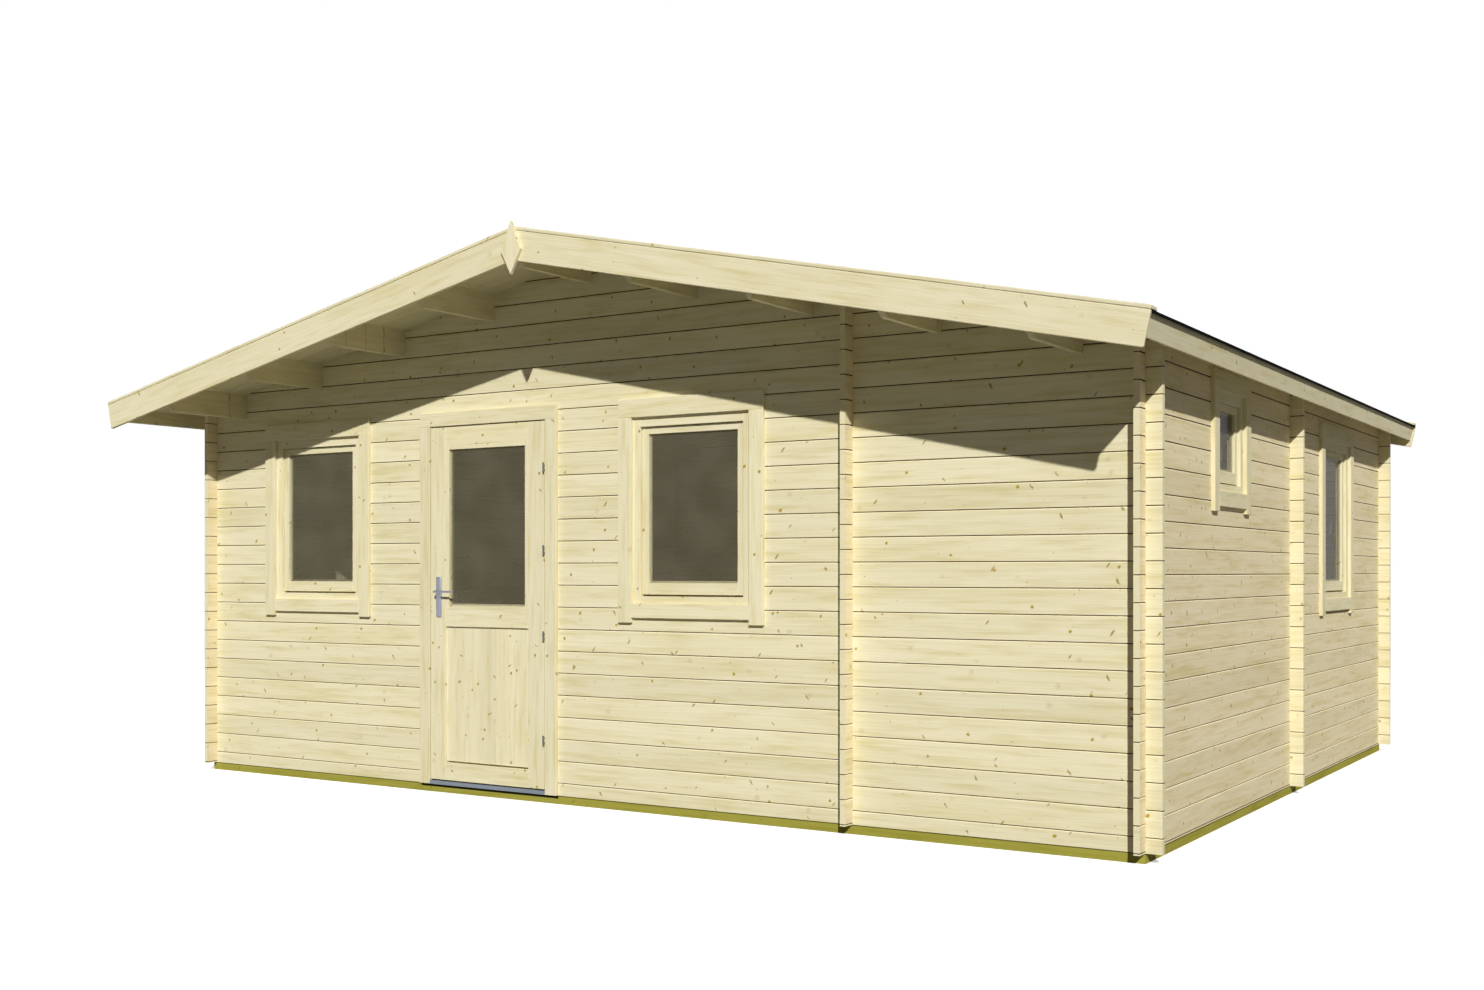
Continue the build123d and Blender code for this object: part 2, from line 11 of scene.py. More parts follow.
import bmesh
import bpy
import numpy as np
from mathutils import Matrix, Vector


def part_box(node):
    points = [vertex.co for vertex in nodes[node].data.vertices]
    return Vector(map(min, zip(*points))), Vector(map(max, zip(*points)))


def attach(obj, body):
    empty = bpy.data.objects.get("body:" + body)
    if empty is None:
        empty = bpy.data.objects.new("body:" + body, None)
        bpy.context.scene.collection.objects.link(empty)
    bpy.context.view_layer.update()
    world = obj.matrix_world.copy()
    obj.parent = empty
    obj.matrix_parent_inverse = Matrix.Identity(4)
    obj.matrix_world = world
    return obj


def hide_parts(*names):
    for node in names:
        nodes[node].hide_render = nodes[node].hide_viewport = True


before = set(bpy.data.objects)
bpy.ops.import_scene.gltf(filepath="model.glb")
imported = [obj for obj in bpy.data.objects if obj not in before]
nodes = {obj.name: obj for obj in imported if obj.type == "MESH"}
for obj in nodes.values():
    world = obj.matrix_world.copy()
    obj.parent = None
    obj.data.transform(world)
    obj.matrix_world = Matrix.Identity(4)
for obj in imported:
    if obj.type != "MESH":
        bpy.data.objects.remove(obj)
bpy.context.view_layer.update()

# %% [markdown]
# ## Camera
#
# The picture was taken with upright lines kept upright, as a building photographer does with a
# shift lens. A level camera with a small vertical shift gives the same: tilting the camera
# instead would make the corners lean. The place and turn were measured from the log courses,
# which are level lines a known height apart.

# %% Set up the camera
image_width, image_height = 1484, 990
focal_pixels = 1567.4
horizon_pixel = 571.9
camera_place = (4.983, -8.534, 1.204)
camera_turn = math.radians(32.63)
sensor_width = 36.0

camera_data = bpy.data.cameras.new("camera")
camera_data.sensor_width = sensor_width
camera_data.lens = sensor_width * focal_pixels / image_width
camera_data.shift_y = (horizon_pixel - image_height / 2) / image_width
camera = bpy.data.objects.new("camera", camera_data)
camera.location = camera_place
camera.rotation_euler = (math.pi / 2, 0, camera_turn)
bpy.context.scene.collection.objects.link(camera)
bpy.context.scene.camera = camera
bpy.context.scene.view_settings.view_transform = "Standard"
print("lens:", round(camera_data.lens, 2), "mm, shift:", round(camera_data.shift_y, 4))

# %% [markdown]
# ## Nodes in words
#
# Every finish below is a small network of shader nodes. Wiring nodes by hand in a script is
# wordy, so one helper adds a node, sets its values and plugs in whatever is already a socket.
# Colours are written as they look on a screen and turned into the linear light that shaders use.

# %% Helpers for shader nodes
def screen_colour(red, green, blue):
    """Linear colour of a screen colour: the sRGB curve undone channel by channel."""
    share = np.array([red, green, blue]) / 255
    linear = np.where(share <= 0.04045, share / 12.92, ((share + 0.055) / 1.055) ** 2.4)
    return (*linear.tolist(), 1.0)


def add(tree, kind, inputs, **settings):
    """New shader node: settings are its own options, inputs are values or sockets to plug in."""
    made = tree.nodes.new("ShaderNode" + kind)
    for key, value in settings.items():
        setattr(made, key, value)
    for key, value in inputs.items():
        if isinstance(value, bpy.types.NodeSocket):
            tree.links.new(value, made.inputs[key])
        else:
            made.inputs[key].default_value = value
    return made


def calc(tree, operation, first, second=0.0):
    """Result of one sum on two numbers or sockets."""
    return add(tree, "Math", {0: first, 1: second}, operation=operation).outputs[0]


def vector_calc(tree, operation, first, second):
    """Result of one sum on two vectors or sockets."""
    return add(tree, "VectorMath", {0: first, 1: second}, operation=operation).outputs[0]


def remap(tree, value, old, new):
    """Value moved from the old pair of limits to the new pair, and held inside them."""
    limits = {"Value": value, "From Min": old[0], "From Max": old[1], "To Min": new[0], "To Max": new[1]}
    return add(tree, "MapRange", limits).outputs["Result"]


def mix(tree, factor, first, second, blend="MIX"):
    """Colour between two colours or sockets."""
    colours = {"Factor": factor, 6: first, 7: second}
    return add(tree, "Mix", colours, data_type="RGBA", blend_type=blend).outputs[2]


def noise(tree, vector, scale, detail=2.0):
    """Smooth random value at a point, with its own scale along each direction, per metre."""
    stretched = add(tree, "Mapping", {"Vector": vector, "Scale": scale}).outputs[0]
    return add(tree, "TexNoise", {"Vector": stretched, "Scale": 1.0, "Detail": detail}).outputs[0]


# Most values of the smooth noise lie between these limits.
noise_limits = (0.3, 0.7)


def new_material(name):
    """Empty principled material: returns it with its node tree and shader."""
    material = bpy.data.materials.new(name)
    material.use_nodes = True
    tree = material.node_tree
    return material, tree, tree.nodes["Principled BSDF"]


print("half grey on a screen, in linear light:", round(screen_colour(128, 128, 128)[0], 3))

# %% [markdown]
# ## Studio
#
# The floor is pale and so is everything behind it. A lamp far away, like a low sun from the right,
# throws the shadow of the eaves on the walls, and a dim surround fills those shadows. A soft lamp
# from behind lights the two walls that the picture doesn't show. The camera, mirrors and glass
# see a white surround, but the wood is lit by the dim one: the light path node tells the two
# apart, so the picture is bright without washing out the shadows.

# %% Light and floor
sun_travel = (-0.487, 0.711, -0.5065)
sun_strength = 3.6
sun_spread = math.radians(0.8)
sun_colour = (1.0, 0.985, 0.955)
back_travel = (0.55, -0.65, -0.52)
back_strength = 1.3
back_spread = math.radians(40)
fill_colour = (1.0, 0.965, 0.94, 1.0)
fill_strength = 0.11
floor_reach = 60.0
floor_fade = (9.0, 16.0)
floor_lit = (0.20, 0.197, 0.185, 1.0)
floor_seen = (0.87, 0.89, 0.93, 1.0)
floor_glow = 0.42
white = (1.0, 1.0, 1.0, 1.0)


def seen_directly(tree):
    """1 where the camera, a mirror or glass looks at the surface, 0 where it only gives light."""
    path = add(tree, "LightPath", {})
    seen = calc(tree, "MAXIMUM", path.outputs["Is Camera Ray"], path.outputs["Is Glossy Ray"])
    return calc(tree, "MAXIMUM", seen, path.outputs["Is Transmission Ray"])


def far_lamp(name, travel, strength, spread, colour):
    """Lamp so far away that its light travels one way everywhere: its turn points it along that way."""
    data = bpy.data.lights.new(name, "SUN")
    data.energy, data.angle, data.color = strength, spread, colour
    lamp = bpy.data.objects.new(name, data)
    tilt = math.atan2(np.hypot(travel[0], travel[1]), -travel[2])
    lamp.rotation_euler = (tilt, 0, math.atan2(travel[1], travel[0]) - math.pi / 2)
    bpy.context.scene.collection.objects.link(lamp)
    print(name, "shines along", travel)


far_lamp("low_sun", sun_travel, sun_strength, sun_spread, sun_colour)
far_lamp("back_light", back_travel, back_strength, back_spread, white[:3])

world = bpy.data.worlds.new("studio")
bpy.context.scene.world = world
world.use_nodes = True
sky = world.node_tree
sky_fill = add(sky, "Background", {"Color": fill_colour, "Strength": fill_strength})
sky_white = add(sky, "Background", {"Color": white, "Strength": 1.0})
sky_mix = add(sky, "MixShader", {0: seen_directly(sky), 1: sky_fill.outputs[0], 2: sky_white.outputs[0]})
sky.links.new(sky_mix.outputs[0], sky.nodes["World Output"].inputs["Surface"])

floor_corners = [(floor_reach * a, floor_reach * b, 0) for a, b in ((-1, -1), (1, -1), (1, 1), (-1, 1))]
floor_mesh = bpy.data.meshes.new("studio_floor")
floor_mesh.from_pydata(floor_corners, [], [(0, 1, 2, 3)])
floor = bpy.data.objects.new("studio_floor", floor_mesh)
bpy.context.scene.collection.objects.link(floor)
floor_paint, tree, shader = new_material("studio_floor")
where = add(tree, "TexCoord", {}).outputs["Object"]
distance = add(tree, "VectorMath", {0: where}, operation="LENGTH").outputs["Value"]
seen = seen_directly(tree)
tree.links.new(mix(tree, seen, floor_lit, floor_seen), shader.inputs["Base Color"])
shader.inputs["Roughness"].default_value = 1.0
shader.inputs["Specular IOR Level"].default_value = 0.0
glow = add(tree, "Emission", {"Color": white, "Strength": floor_glow})
lifted = add(tree, "AddShader", {0: shader.outputs[0], 1: glow.outputs[0]})
near = add(tree, "MixShader", {0: seen, 1: shader.outputs[0], 2: lifted.outputs[0]})
blank = add(tree, "Emission", {"Color": white, "Strength": 1.0})
far = calc(tree, "MULTIPLY", seen, remap(tree, distance, floor_fade, (0.0, 1.0)))
whole = add(tree, "MixShader", {0: far, 1: near.outputs[0], 2: blank.outputs[0]})
tree.links.new(whole.outputs[0], tree.nodes["Material Output"].inputs["Surface"])
floor_mesh.materials.append(floor_paint)
print("floor reaches", floor_reach, "m")

# %% [markdown]
# ## Spruce
#
# Planed spruce is pale straw, with soft olive patches along the grain, fine fibres and many small
# knots: round amber ones, thin moss-coloured ones where a twig was cut along its length, and
# faint grey ones just under the surface. A photo texture would repeat, so the wood is worked out
# at each point from three directions: along the grain, across it and into it. Each knot belongs
# to one cell of a Voronoi pattern, which gives it its own size and lean.

# %% Colour of spruce
spruce = {
    "pale": screen_colour(238, 231, 199), "dark": screen_colour(219, 208, 158),
    "amber": screen_colour(178, 149, 4), "moss": screen_colour(146, 126, 30),
    "smoke": screen_colour(176, 158, 112),
}
# A warmer copy of the spruce colours for the walls along the sides: it paints in the warmer light that falls
# on them, as the wood is the same.
spruce_painted_side_light = {**spruce, "pale": screen_colour(243, 230, 197), "dark": screen_colour(221, 206, 153)}
# Painted at each log joint: a dark line that is the joint itself plus painted shade under the log above, and
# a painted highlight on the lit edge of the log below.
joint_and_painted_shade = screen_colour(62, 44, 8)
painted_joint_highlight = screen_colour(252, 241, 199)
# Each layer of grain: waves per metre along, across and into it, detail, limits, strength.
grain_layers = {
    "patches": ((3.6, 36.0, 36.0), 3.0, (0.48, 0.78), 0.75),
    "drifts": ((0.8, 9.0, 9.0), 2.0, (0.42, 0.72), 0.35),
    "streaks": ((2.2, 150.0, 150.0), 3.0, (0.42, 0.75), 0.45),
}
fibre_waves = (9.0, 460.0, 460.0)
fibre_limits = (0.25, 0.75)
fibre_shade = (0.965, 1.03)
plank_shade = (0.95, 1.03)
ragged_waves = (90.0, 90.0, 90.0)
ragged_depth = 0.016
# Each kind of knot: paint, cells per metre, shift, share of cells, radii, soft edge, stretch, lean, strength.
knot_kinds = {
    "ghosts": ("smoke", (2.1, 5.6), 7.3, 0.45, (0.005, 0.011), 0.007, (0.8, 1.0), 0.0, 0.3),
    "dots": ("moss", (4.1, 9.4), 5.7, 0.5, (0.0016, 0.0032), 0.001, (1.0, 1.0), 0.0, 0.7),
    "twigs": ("moss", (3.1, 7.2), 3.1, 0.36, (0.003, 0.0055), 0.0014, (1.0, 0.42), 0.6, 0.8),
    "rims": ("moss", (2.7, 6.6), 0.0, 0.4, (0.006, 0.0085), 0.0018, (1.0, 1.0), 0.0, 0.55),
    "hearts": ("amber", (2.7, 6.6), 0.0, 0.4, (0.0048, 0.0068), 0.001, (1.0, 1.0), 0.0, 0.9),
}
wood_gloss = 0.03
wood_roughness = (0.6, 0.75)
fibre_bump = {"Strength": 0.2, "Distance": 0.0003}


def specks(tree, grain, cells, shift, share, radii, soft, stretch, lean):
    """Mask of specks in a share of the cells: distance to the cell's point, leaned and stretched, less
    a radius."""
    mapping = {"Vector": grain, "Location": (shift, shift, 0.0), "Scale": (*cells, 0.0)}
    place = add(tree, "Mapping", mapping).outputs[0]
    cell = add(tree, "TexVoronoi", {"Vector": place, "Scale": 1.0}, voronoi_dimensions="2D")
    away = vector_calc(tree, "SUBTRACT", place, cell.outputs["Position"])
    away = vector_calc(tree, "MULTIPLY", away, (1 / cells[0], 1 / cells[1], 0.0))
    away = add(tree, "SeparateXYZ", {0: away}).outputs
    pick = add(tree, "SeparateColor", {0: cell.outputs["Color"]}).outputs
    way = remap(tree, calc(tree, "GREATER_THAN", pick[1], 0.5), (0.0, 1.0), (-lean, lean))
    across = calc(tree, "MULTIPLY", away[1], stretch[1])
    along = calc(tree, "ADD", away[0], calc(tree, "MULTIPLY", away[1], way))
    along = calc(tree, "MULTIPLY", along, stretch[0])
    squares = [calc(tree, "MULTIPLY", part, part) for part in (along, across)]
    length = calc(tree, "SQRT", calc(tree, "ADD", *squares))
    radius = remap(tree, pick[0], (1.0 - share, 1.0), radii)
    mask = remap(tree, calc(tree, "SUBTRACT", length, radius), (-soft, soft), (1.0, 0.0))
    return calc(tree, "MULTIPLY", mask, calc(tree, "GREATER_THAN", pick[0], 1.0 - share))


def wood_colour(tree, grain, tone, paints, knots=1.0):
    """Colour and fibre height of planed wood: layers of grain, each plank's tone, then the knots."""
    strength = 0.0
    for waves, detail, limits, most in grain_layers.values():
        layer = remap(tree, noise(tree, grain, waves, detail), limits, (0.0, most))
        strength = calc(tree, "ADD", strength, layer)
    colour = mix(tree, strength, paints["pale"], paints["dark"])
    fibres = noise(tree, grain, fibre_waves)
    shade = remap(tree, fibres, fibre_limits, fibre_shade)
    shade = calc(tree, "MULTIPLY", shade, remap(tree, tone, (0.0, 1.0), plank_shade))
    grey = add(tree, "CombineColor", {0: shade, 1: shade, 2: shade}).outputs[0]
    colour = mix(tree, 1.0, colour, grey, "MULTIPLY")
    ragged = calc(tree, "SUBTRACT", noise(tree, grain, ragged_waves), 0.5)
    ragged = calc(tree, "MULTIPLY", ragged, ragged_depth)
    ragged = vector_calc(tree, "ADD", grain, add(tree, "CombineXYZ", {0: ragged, 1: ragged}).outputs[0])
    for paint, cells, shift, share, radii, soft, stretch, lean, cover in knot_kinds.values():
        cells = (cells[0] * knots, cells[1] * knots)
        mask = specks(tree, ragged, cells, shift, share, radii, soft, stretch, lean)
        colour = mix(tree, calc(tree, "MULTIPLY", mask, cover), colour, paints[paint])
    return colour, fibres


def wood_surface(tree, shader, colour, fibres, rough=wood_roughness):
    """Plug colour, a little unevenness of gloss and raised fibres into the shader."""
    tree.links.new(colour, shader.inputs["Base Color"])
    tree.links.new(remap(tree, fibres, noise_limits, rough), shader.inputs["Roughness"])
    shader.inputs["Specular IOR Level"].default_value = wood_gloss
    bump = add(tree, "Bump", {"Height": fibres, **fibre_bump})
    tree.links.new(bump.outputs[0], shader.inputs["Normal"])


print("spruce paints:", {name: tuple(round(c, 3) for c in paint[:3]) for name, paint in spruce.items()})

# %% [markdown]
# ## Logs
#
# A wall is a stack of logs, and every log came from another tree. The height of a point tells
# which log it is on, so the course number shifts the pattern along and gives each log its own
# tone. At a joint the log above has its lower edge in shade and the log below has its upper edge
# in the light, and both are painted into the colour: a dark line of painted shade, which also
# stands for the joint itself, lies over a bright line of painted highlight. The sawn ends show
# growth rings in place of streaks: a face that looks along the log is an end. Walls along the
# front use the same recipe as walls along the sides, with the directions swapped; the side walls
# take a warmer copy of the colours, which paints in the warmer light that falls on them.

# %% Finish for stacked logs, beams and floor boards
log_pitch = 0.114
front_seam = 0.107
side_seam = 0.164
# Heights of the painted joint lines: shade with the dark joint above each joint, highlight below it.
joint_shade_reach = 0.0052
seam_core = 0.75
seam_cover = 0.95
painted_highlight_reach = 0.0046
glint_core = 0.6
glint_cover = 0.8
log_knots = 1.25
course_shift = (3.73, 0.531)
end_facing = 0.8
end_cover = 0.8
ring_wave = {"Scale": 62.0, "Distortion": 3.0, "Detail": 2.0}
ring_limits = (0.2, 0.9)
ring_cover = 0.6
purlin_spacing = 0.655
floor_board = 0.112


def stacked_timber(name, along, across, first, pitch, seams=True, paints=spruce):
    """Timber laid in courses: course = floor of (height - first) / pitch, and the seam lies between."""
    material, tree, shader = new_material(name)
    into = 3 - along - across
    place = add(tree, "SeparateXYZ", {0: add(tree, "TexCoord", {}).outputs["Object"]}).outputs
    course = calc(tree, "DIVIDE", calc(tree, "SUBTRACT", place[across], first), pitch)
    number = calc(tree, "FLOOR", course)
    tone = add(tree, "TexWhiteNoise", {"W": number}, noise_dimensions="1D").outputs["Value"]
    shift = calc(tree, "ADD", place[along], calc(tree, "MULTIPLY", number, course_shift[0]))
    rise = calc(tree, "ADD", place[across], calc(tree, "MULTIPLY", number, course_shift[1]))
    grain = add(tree, "CombineXYZ", {0: shift, 1: rise, 2: place[into]}).outputs[0]
    colour, fibres = wood_colour(tree, grain, tone, paints, log_knots)
    facing = add(tree, "NewGeometry", {}).outputs["True Normal"]
    facing = add(tree, "SeparateXYZ", {0: facing}).outputs[along]
    end = calc(tree, "GREATER_THAN", calc(tree, "ABSOLUTE", facing), end_facing)
    rings = add(tree, "CombineXYZ", {0: 0.0, 1: rise, 2: place[into]}).outputs[0]
    rings = add(tree, "TexWave", {"Vector": rings, **ring_wave}, wave_type="RINGS").outputs["Fac"]
    rings = remap(tree, rings, ring_limits, (0.0, ring_cover))
    sawn = mix(tree, rings, spruce["pale"], spruce["dark"])
    colour = mix(tree, calc(tree, "MULTIPLY", end, end_cover), colour, sawn)
    if seams:
        # Painted light at each joint: a painted highlight on the lit upper edge below it, and painted shade
        # with the dark joint above it.
        part = calc(tree, "SUBTRACT", course, number)
        above = calc(tree, "MULTIPLY", part, pitch)
        below = calc(tree, "SUBTRACT", pitch, above)
        glint = remap(tree, below, (painted_highlight_reach * glint_core, painted_highlight_reach), (glint_cover, 0.0))
        shade = remap(tree, above, (joint_shade_reach * seam_core, joint_shade_reach), (seam_cover, 0.0))
        colour = mix(tree, shade, mix(tree, glint, colour, painted_joint_highlight), joint_and_painted_shade)
    wood_surface(tree, shader, colour, fibres)
    return material


front_logs = stacked_timber("spruce_logs_front", 0, 2, front_seam, log_pitch)
side_logs = stacked_timber("spruce_logs_side", 1, 2, side_seam, log_pitch, paints=spruce_painted_side_light)
purlin_wood = stacked_timber("spruce_purlins", 1, 0, -purlin_spacing / 2, purlin_spacing, seams=False)
floor_wood = stacked_timber("spruce_floor", 1, 0, 0.0, floor_board)


def dress(material, *names):
    """Give solid parts one finish."""
    for name in names:
        nodes[name].data.materials.clear()
        nodes[name].data.materials.append(material)


dress(front_logs, "front_wall_left", "front_wall_right", "front_gable", "back_wall", "cross_partition")
dress(side_logs, "left_wall", "right_wall", "long_partition_head")
dress(side_logs, "long_partition_front", "long_partition_middle", "long_partition_back")
dress(purlin_wood, "purlins")
dress(floor_wood, "floor_boards")
print("log finishes:", front_logs.name, side_logs.name)

# %% [markdown]
# ## Treated base
#
# The base beams are pressure treated, which leaves soft wood olive green. It is the same wood
# recipe with other colours. The top edge is painted dark as the shade of the logs over it, and
# darker under the doorway as the shadow of the boards that stand off there. The beams along the
# sides need their grain along the side, so the choice between the two directions goes by how far
# out a point lies.

# %% Finish for the base beams
treated = {
    "pale": screen_colour(172, 166, 76), "dark": screen_colour(150, 146, 58),
    "amber": screen_colour(112, 96, 40), "moss": screen_colour(122, 116, 48),
    "smoke": screen_colour(134, 130, 62),
}
# Painted shade along the beams' top edge under the logs, and darker painted shadow under the doorway's casing
# and threshold.
base_painted_shade = screen_colour(60, 56, 18)
base_shade_band = (0.006, 0.004)
base_cover = 0.8
doorway_shade_band = (0.017, 0.015)
doorway_cover = 0.95
doorway_painted_shade = screen_colour(30, 26, 10)
base_width = 0.070
base_roughness = (0.7, 0.85)
base_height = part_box("foundation_beams")[1][2]
base_half_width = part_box("foundation_beams")[1][0]

base_paint, tree, shader = new_material("treated_beams")
place = add(tree, "SeparateXYZ", {0: add(tree, "TexCoord", {}).outputs["Object"]}).outputs
outside = calc(tree, "GREATER_THAN", calc(tree, "ABSOLUTE", place[0]), base_half_width - base_width)
along_x = add(tree, "CombineXYZ", {0: place[0], 1: place[2], 2: place[1]}).outputs[0]
along_y = add(tree, "CombineXYZ", {0: place[1], 1: place[2], 2: place[0]}).outputs[0]
grain = add(tree, "Mix", {"Factor": outside, 4: along_x, 5: along_y}, data_type="VECTOR").outputs[1]
colour, fibres = wood_colour(tree, grain, outside, treated)
doorway_low, doorway_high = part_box("door_casing")
doorway_middle = (doorway_low[0] + doorway_high[0]) / 2
away = calc(tree, "ABSOLUTE", calc(tree, "SUBTRACT", place[0], doorway_middle))
doorway = calc(tree, "LESS_THAN", away, (doorway_high[0] - doorway_low[0]) / 2)
doorway = calc(tree, "MULTIPLY", doorway, calc(tree, "LESS_THAN", place[1], 0.0))
# Painted shade: a dark band down from the top edge, and a deeper one on the front beam under the doorway.
under = calc(tree, "SUBTRACT", base_height, place[2])
colour = mix(tree, remap(tree, under, base_shade_band, (0.0, base_cover)), colour, base_painted_shade)
doorway_shadow = calc(tree, "MULTIPLY", remap(tree, under, doorway_shade_band, (0.0, doorway_cover)), doorway)
colour = mix(tree, doorway_shadow, colour, doorway_painted_shade)
wood_surface(tree, shader, colour, fibres, base_roughness)
dress(base_paint, "foundation_beams")
print("base beams reach", round(base_half_width, 3), "m to each side")

# %% [markdown]
# ## Planks
#
# Casings, sashes, door rails and bargeboards are planks with slightly rounded edges. A cube with
# a bevel would do for one of them, but here all planks of a piece come from one formula at
# once: a rounded rectangle is carried from one end to the other, and drawn in a little at both
# ends. Each plank's surface is unrolled into its own stretch of a map, in metres, so
# the grain always runs with the length, and one number per plank sets its tone.

# %% Planks from a rounded outline
chance = np.random.default_rng(11)
corner_turns = np.radians([0.0, 45.0, 90.0])
plank_edge = 0.0015
square = (0.0, 0.0)
map_reach = 40
end_map = 0.3
crease = math.radians(40)


def rounded_outline(width, depth, radius):
    """Points round a rectangle: a corner is its centre plus radius times (cosine, sine) of a quarter turn."""
    turns = corner_turns[None, :] + np.radians([0.0, 90.0, 180.0, 270.0])[:, None]
    sides = np.array([[1, 1], [-1, 1], [-1, -1], [1, -1]])
    a = sides[:, None, 0] * (width / 2 - radius) + radius * np.cos(turns)
    b = sides[:, None, 1] * (depth / 2 - radius) + radius * np.sin(turns)
    return np.stack([a, b], axis=-1).reshape(-1, 2)


def tube_faces(rows, count):
    """Four-cornered faces between rings of count points, and one cap on each end ring."""
    i, j = np.meshgrid(np.arange(rows - 1), np.arange(count), indexing="ij")
    k = (j + 1) % count
    sides = np.stack([i * count + j, i * count + k, (i + 1) * count + k, (i + 1) * count + j], axis=-1)
    ring = np.arange(count)
    return sides.reshape(-1, 4), [ring[::-1].tolist(), ((rows - 1) * count + ring).tolist()]


def plank(start, end, across, through, start_cut=square, end_cut=square, edge=plank_edge, corner=None):
    """One plank from start to end. A cut is how far an end slides along per metre across and through."""
    start, end, across, through = (np.array(v, float) for v in (start, end, across, through))
    if np.dot(np.cross(across, through), end - start) < 0:
        through = -through
        start_cut = (start_cut[0], -start_cut[1])
        end_cut = (end_cut[0], -end_cut[1])
    return {
        "start": start, "end": end, "across": across, "through": through,
        "cuts": (start_cut, end_cut), "edge": edge, "corner": corner or edge,
    }


def plank_in(low, high, along, edge=plank_edge):
    """Plank that fills the box between two corners, with its grain along one axis."""
    low, high = np.array(low, float), np.array(high, float)
    first, second = [axis for axis in range(3) if axis != along]
    start = (low + high) / 2
    end = start.copy()
    start[along], end[along] = low[along], high[along]
    sizes = np.diag(high - low)
    return plank(start, end, sizes[first], sizes[second], edge=edge)


def plank_surface(item):
    """Corners, faces, map and tone of one plank: point = start + s * along + a * across + b * through."""
    width, depth = np.linalg.norm(item["across"]), np.linalg.norm(item["through"])
    length = np.linalg.norm(item["end"] - item["start"])
    edge = min(item["edge"], width / 3, depth / 3)
    outline = rounded_outline(width, depth, min(item["corner"], width / 3, depth / 3))
    along = (item["end"] - item["start"]) / length
    across, through = item["across"] / width, item["through"] / depth
    stations = np.array([0.0, edge, length - edge, length])
    drawn = np.array([edge, 0.0, 0.0, edge])
    shrink = np.stack([1 - 2 * drawn / width, 1 - 2 * drawn / depth], axis=-1)
    flat = outline[None, :, :] * shrink[:, None, :]
    cuts = np.array([item["cuts"][0], item["cuts"][0], item["cuts"][1], item["cuts"][1]])
    s = stations[:, None] + flat[..., 0] * cuts[:, None, 0] + flat[..., 1] * cuts[:, None, 1]
    points = item["start"] + s[..., None] * along + flat[..., :1] * across + flat[..., 1:] * through
    rows, count = len(stations), len(outline)
    sides, caps = tube_faces(rows, count)
    steps = np.linalg.norm(np.roll(outline, -1, 0) - outline, axis=1)
    round_trip = np.concatenate([[0.0], np.cumsum(steps)])
    i, j = np.meshgrid(np.arange(rows - 1), np.arange(count), indexing="ij")
    u = np.stack([stations[i], stations[i], stations[i + 1], stations[i + 1]], axis=-1)
    v = np.stack([round_trip[j], round_trip[j + 1], round_trip[j + 1], round_trip[j]], axis=-1)
    shift = chance.uniform(0, map_reach, 2)
    side_map = np.stack([u, v], axis=-1).reshape(-1, 2) + shift
    cap_map = np.concatenate([outline[::-1], outline]) * end_map + shift
    tone = np.full(rows * count, chance.uniform())
    return points.reshape(-1, 3), sides.tolist() + caps, np.concatenate([side_map, cap_map]), tone


def with_map(points, faces):
    """Surface with a plain map, for finishes that need none: each face corner's own x and y."""
    points = np.asarray(points).reshape(-1, 3)
    corners = points[np.concatenate([np.array(face) for face in faces])]
    return points, faces, corners[:, :2], np.zeros(len(points))


def make_piece(name, surfaces, material, body, stands_for=(), smooth=False):
    """One object from several surfaces: each is its points, faces, map per face corner and tone per point."""
    starts = np.cumsum([0] + [len(surface[0]) for surface in surfaces])
    faces = [
        [corner + int(shift) for corner in face]
        for surface, shift in zip(surfaces, starts)
        for face in surface[1]
    ]
    mesh = bpy.data.meshes.new(name)
    mesh.from_pydata(np.concatenate([surface[0] for surface in surfaces]).tolist(), [], faces)
    grain = mesh.uv_layers.new(name="grain")
    grain.data.foreach_set("uv", np.concatenate([surface[2] for surface in surfaces]).ravel())
    tone = mesh.attributes.new("tone", "FLOAT", "POINT")
    tone.data.foreach_set("value", np.concatenate([surface[3] for surface in surfaces]))
    mesh.materials.append(material)
    shell = bmesh.new()
    shell.from_mesh(mesh)
    bmesh.ops.recalc_face_normals(shell, faces=shell.faces)
    shell.to_mesh(mesh)
    shell.free()
    if smooth:
        mesh.shade_smooth()
        mesh.set_sharp_from_angle(angle=crease)
    piece = bpy.data.objects.new(name, mesh)
    bpy.context.scene.collection.objects.link(piece)
    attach(piece, body)
    if stands_for:
        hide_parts(*stands_for)
    print(name, "faces:", len(faces))
    return piece


def plank_finish(name, knots=1.0):
    """Spruce that follows each plank's own map and tone."""
    material, tree, shader = new_material(name)
    grain = add(tree, "UVMap", {}, uv_map="grain").outputs[0]
    tone = add(tree, "Attribute", {}, attribute_name="tone").outputs["Fac"]
    colour, fibres = wood_colour(tree, grain, tone, spruce, knots)
    wood_surface(tree, shader, colour, fibres)
    return material


plank_wood = plank_finish("spruce_planks")


def planks(name, items, body, stands_for=(), finish=plank_wood):
    """One object made of several planks."""
    return make_piece(name, [plank_surface(item) for item in items], finish, body, stands_for)


print("plank finish:", plank_wood.name)

# %% [markdown]
# ## Roof boards
#
# Under the overhang the roof shows as narrow boards side by side, from the eave up to the
# ridge. Lines painted on one slab would vanish in a raking light, so each board is a plank of
# its own with eased edges. Its two ends are cut plumb, as the slab's are, by sliding them along
# the slope in step with the board's thickness.

# %% Boards on both slopes
roof_pitch = math.radians(12)
ridge_side = {"left": -1, "right": 1}
roof_board_width = 0.096
board_thickness = 0.018
board_edge = 0.002
board_gap = 0.0006


def slope_frame(side):
    """Unit directions on one slope: up towards the ridge, and square off the roof."""
    up = np.array([-side * math.cos(roof_pitch), 0, math.sin(roof_pitch)])
    off = np.array([side * math.sin(roof_pitch), 0, math.cos(roof_pitch)])
    return up, off


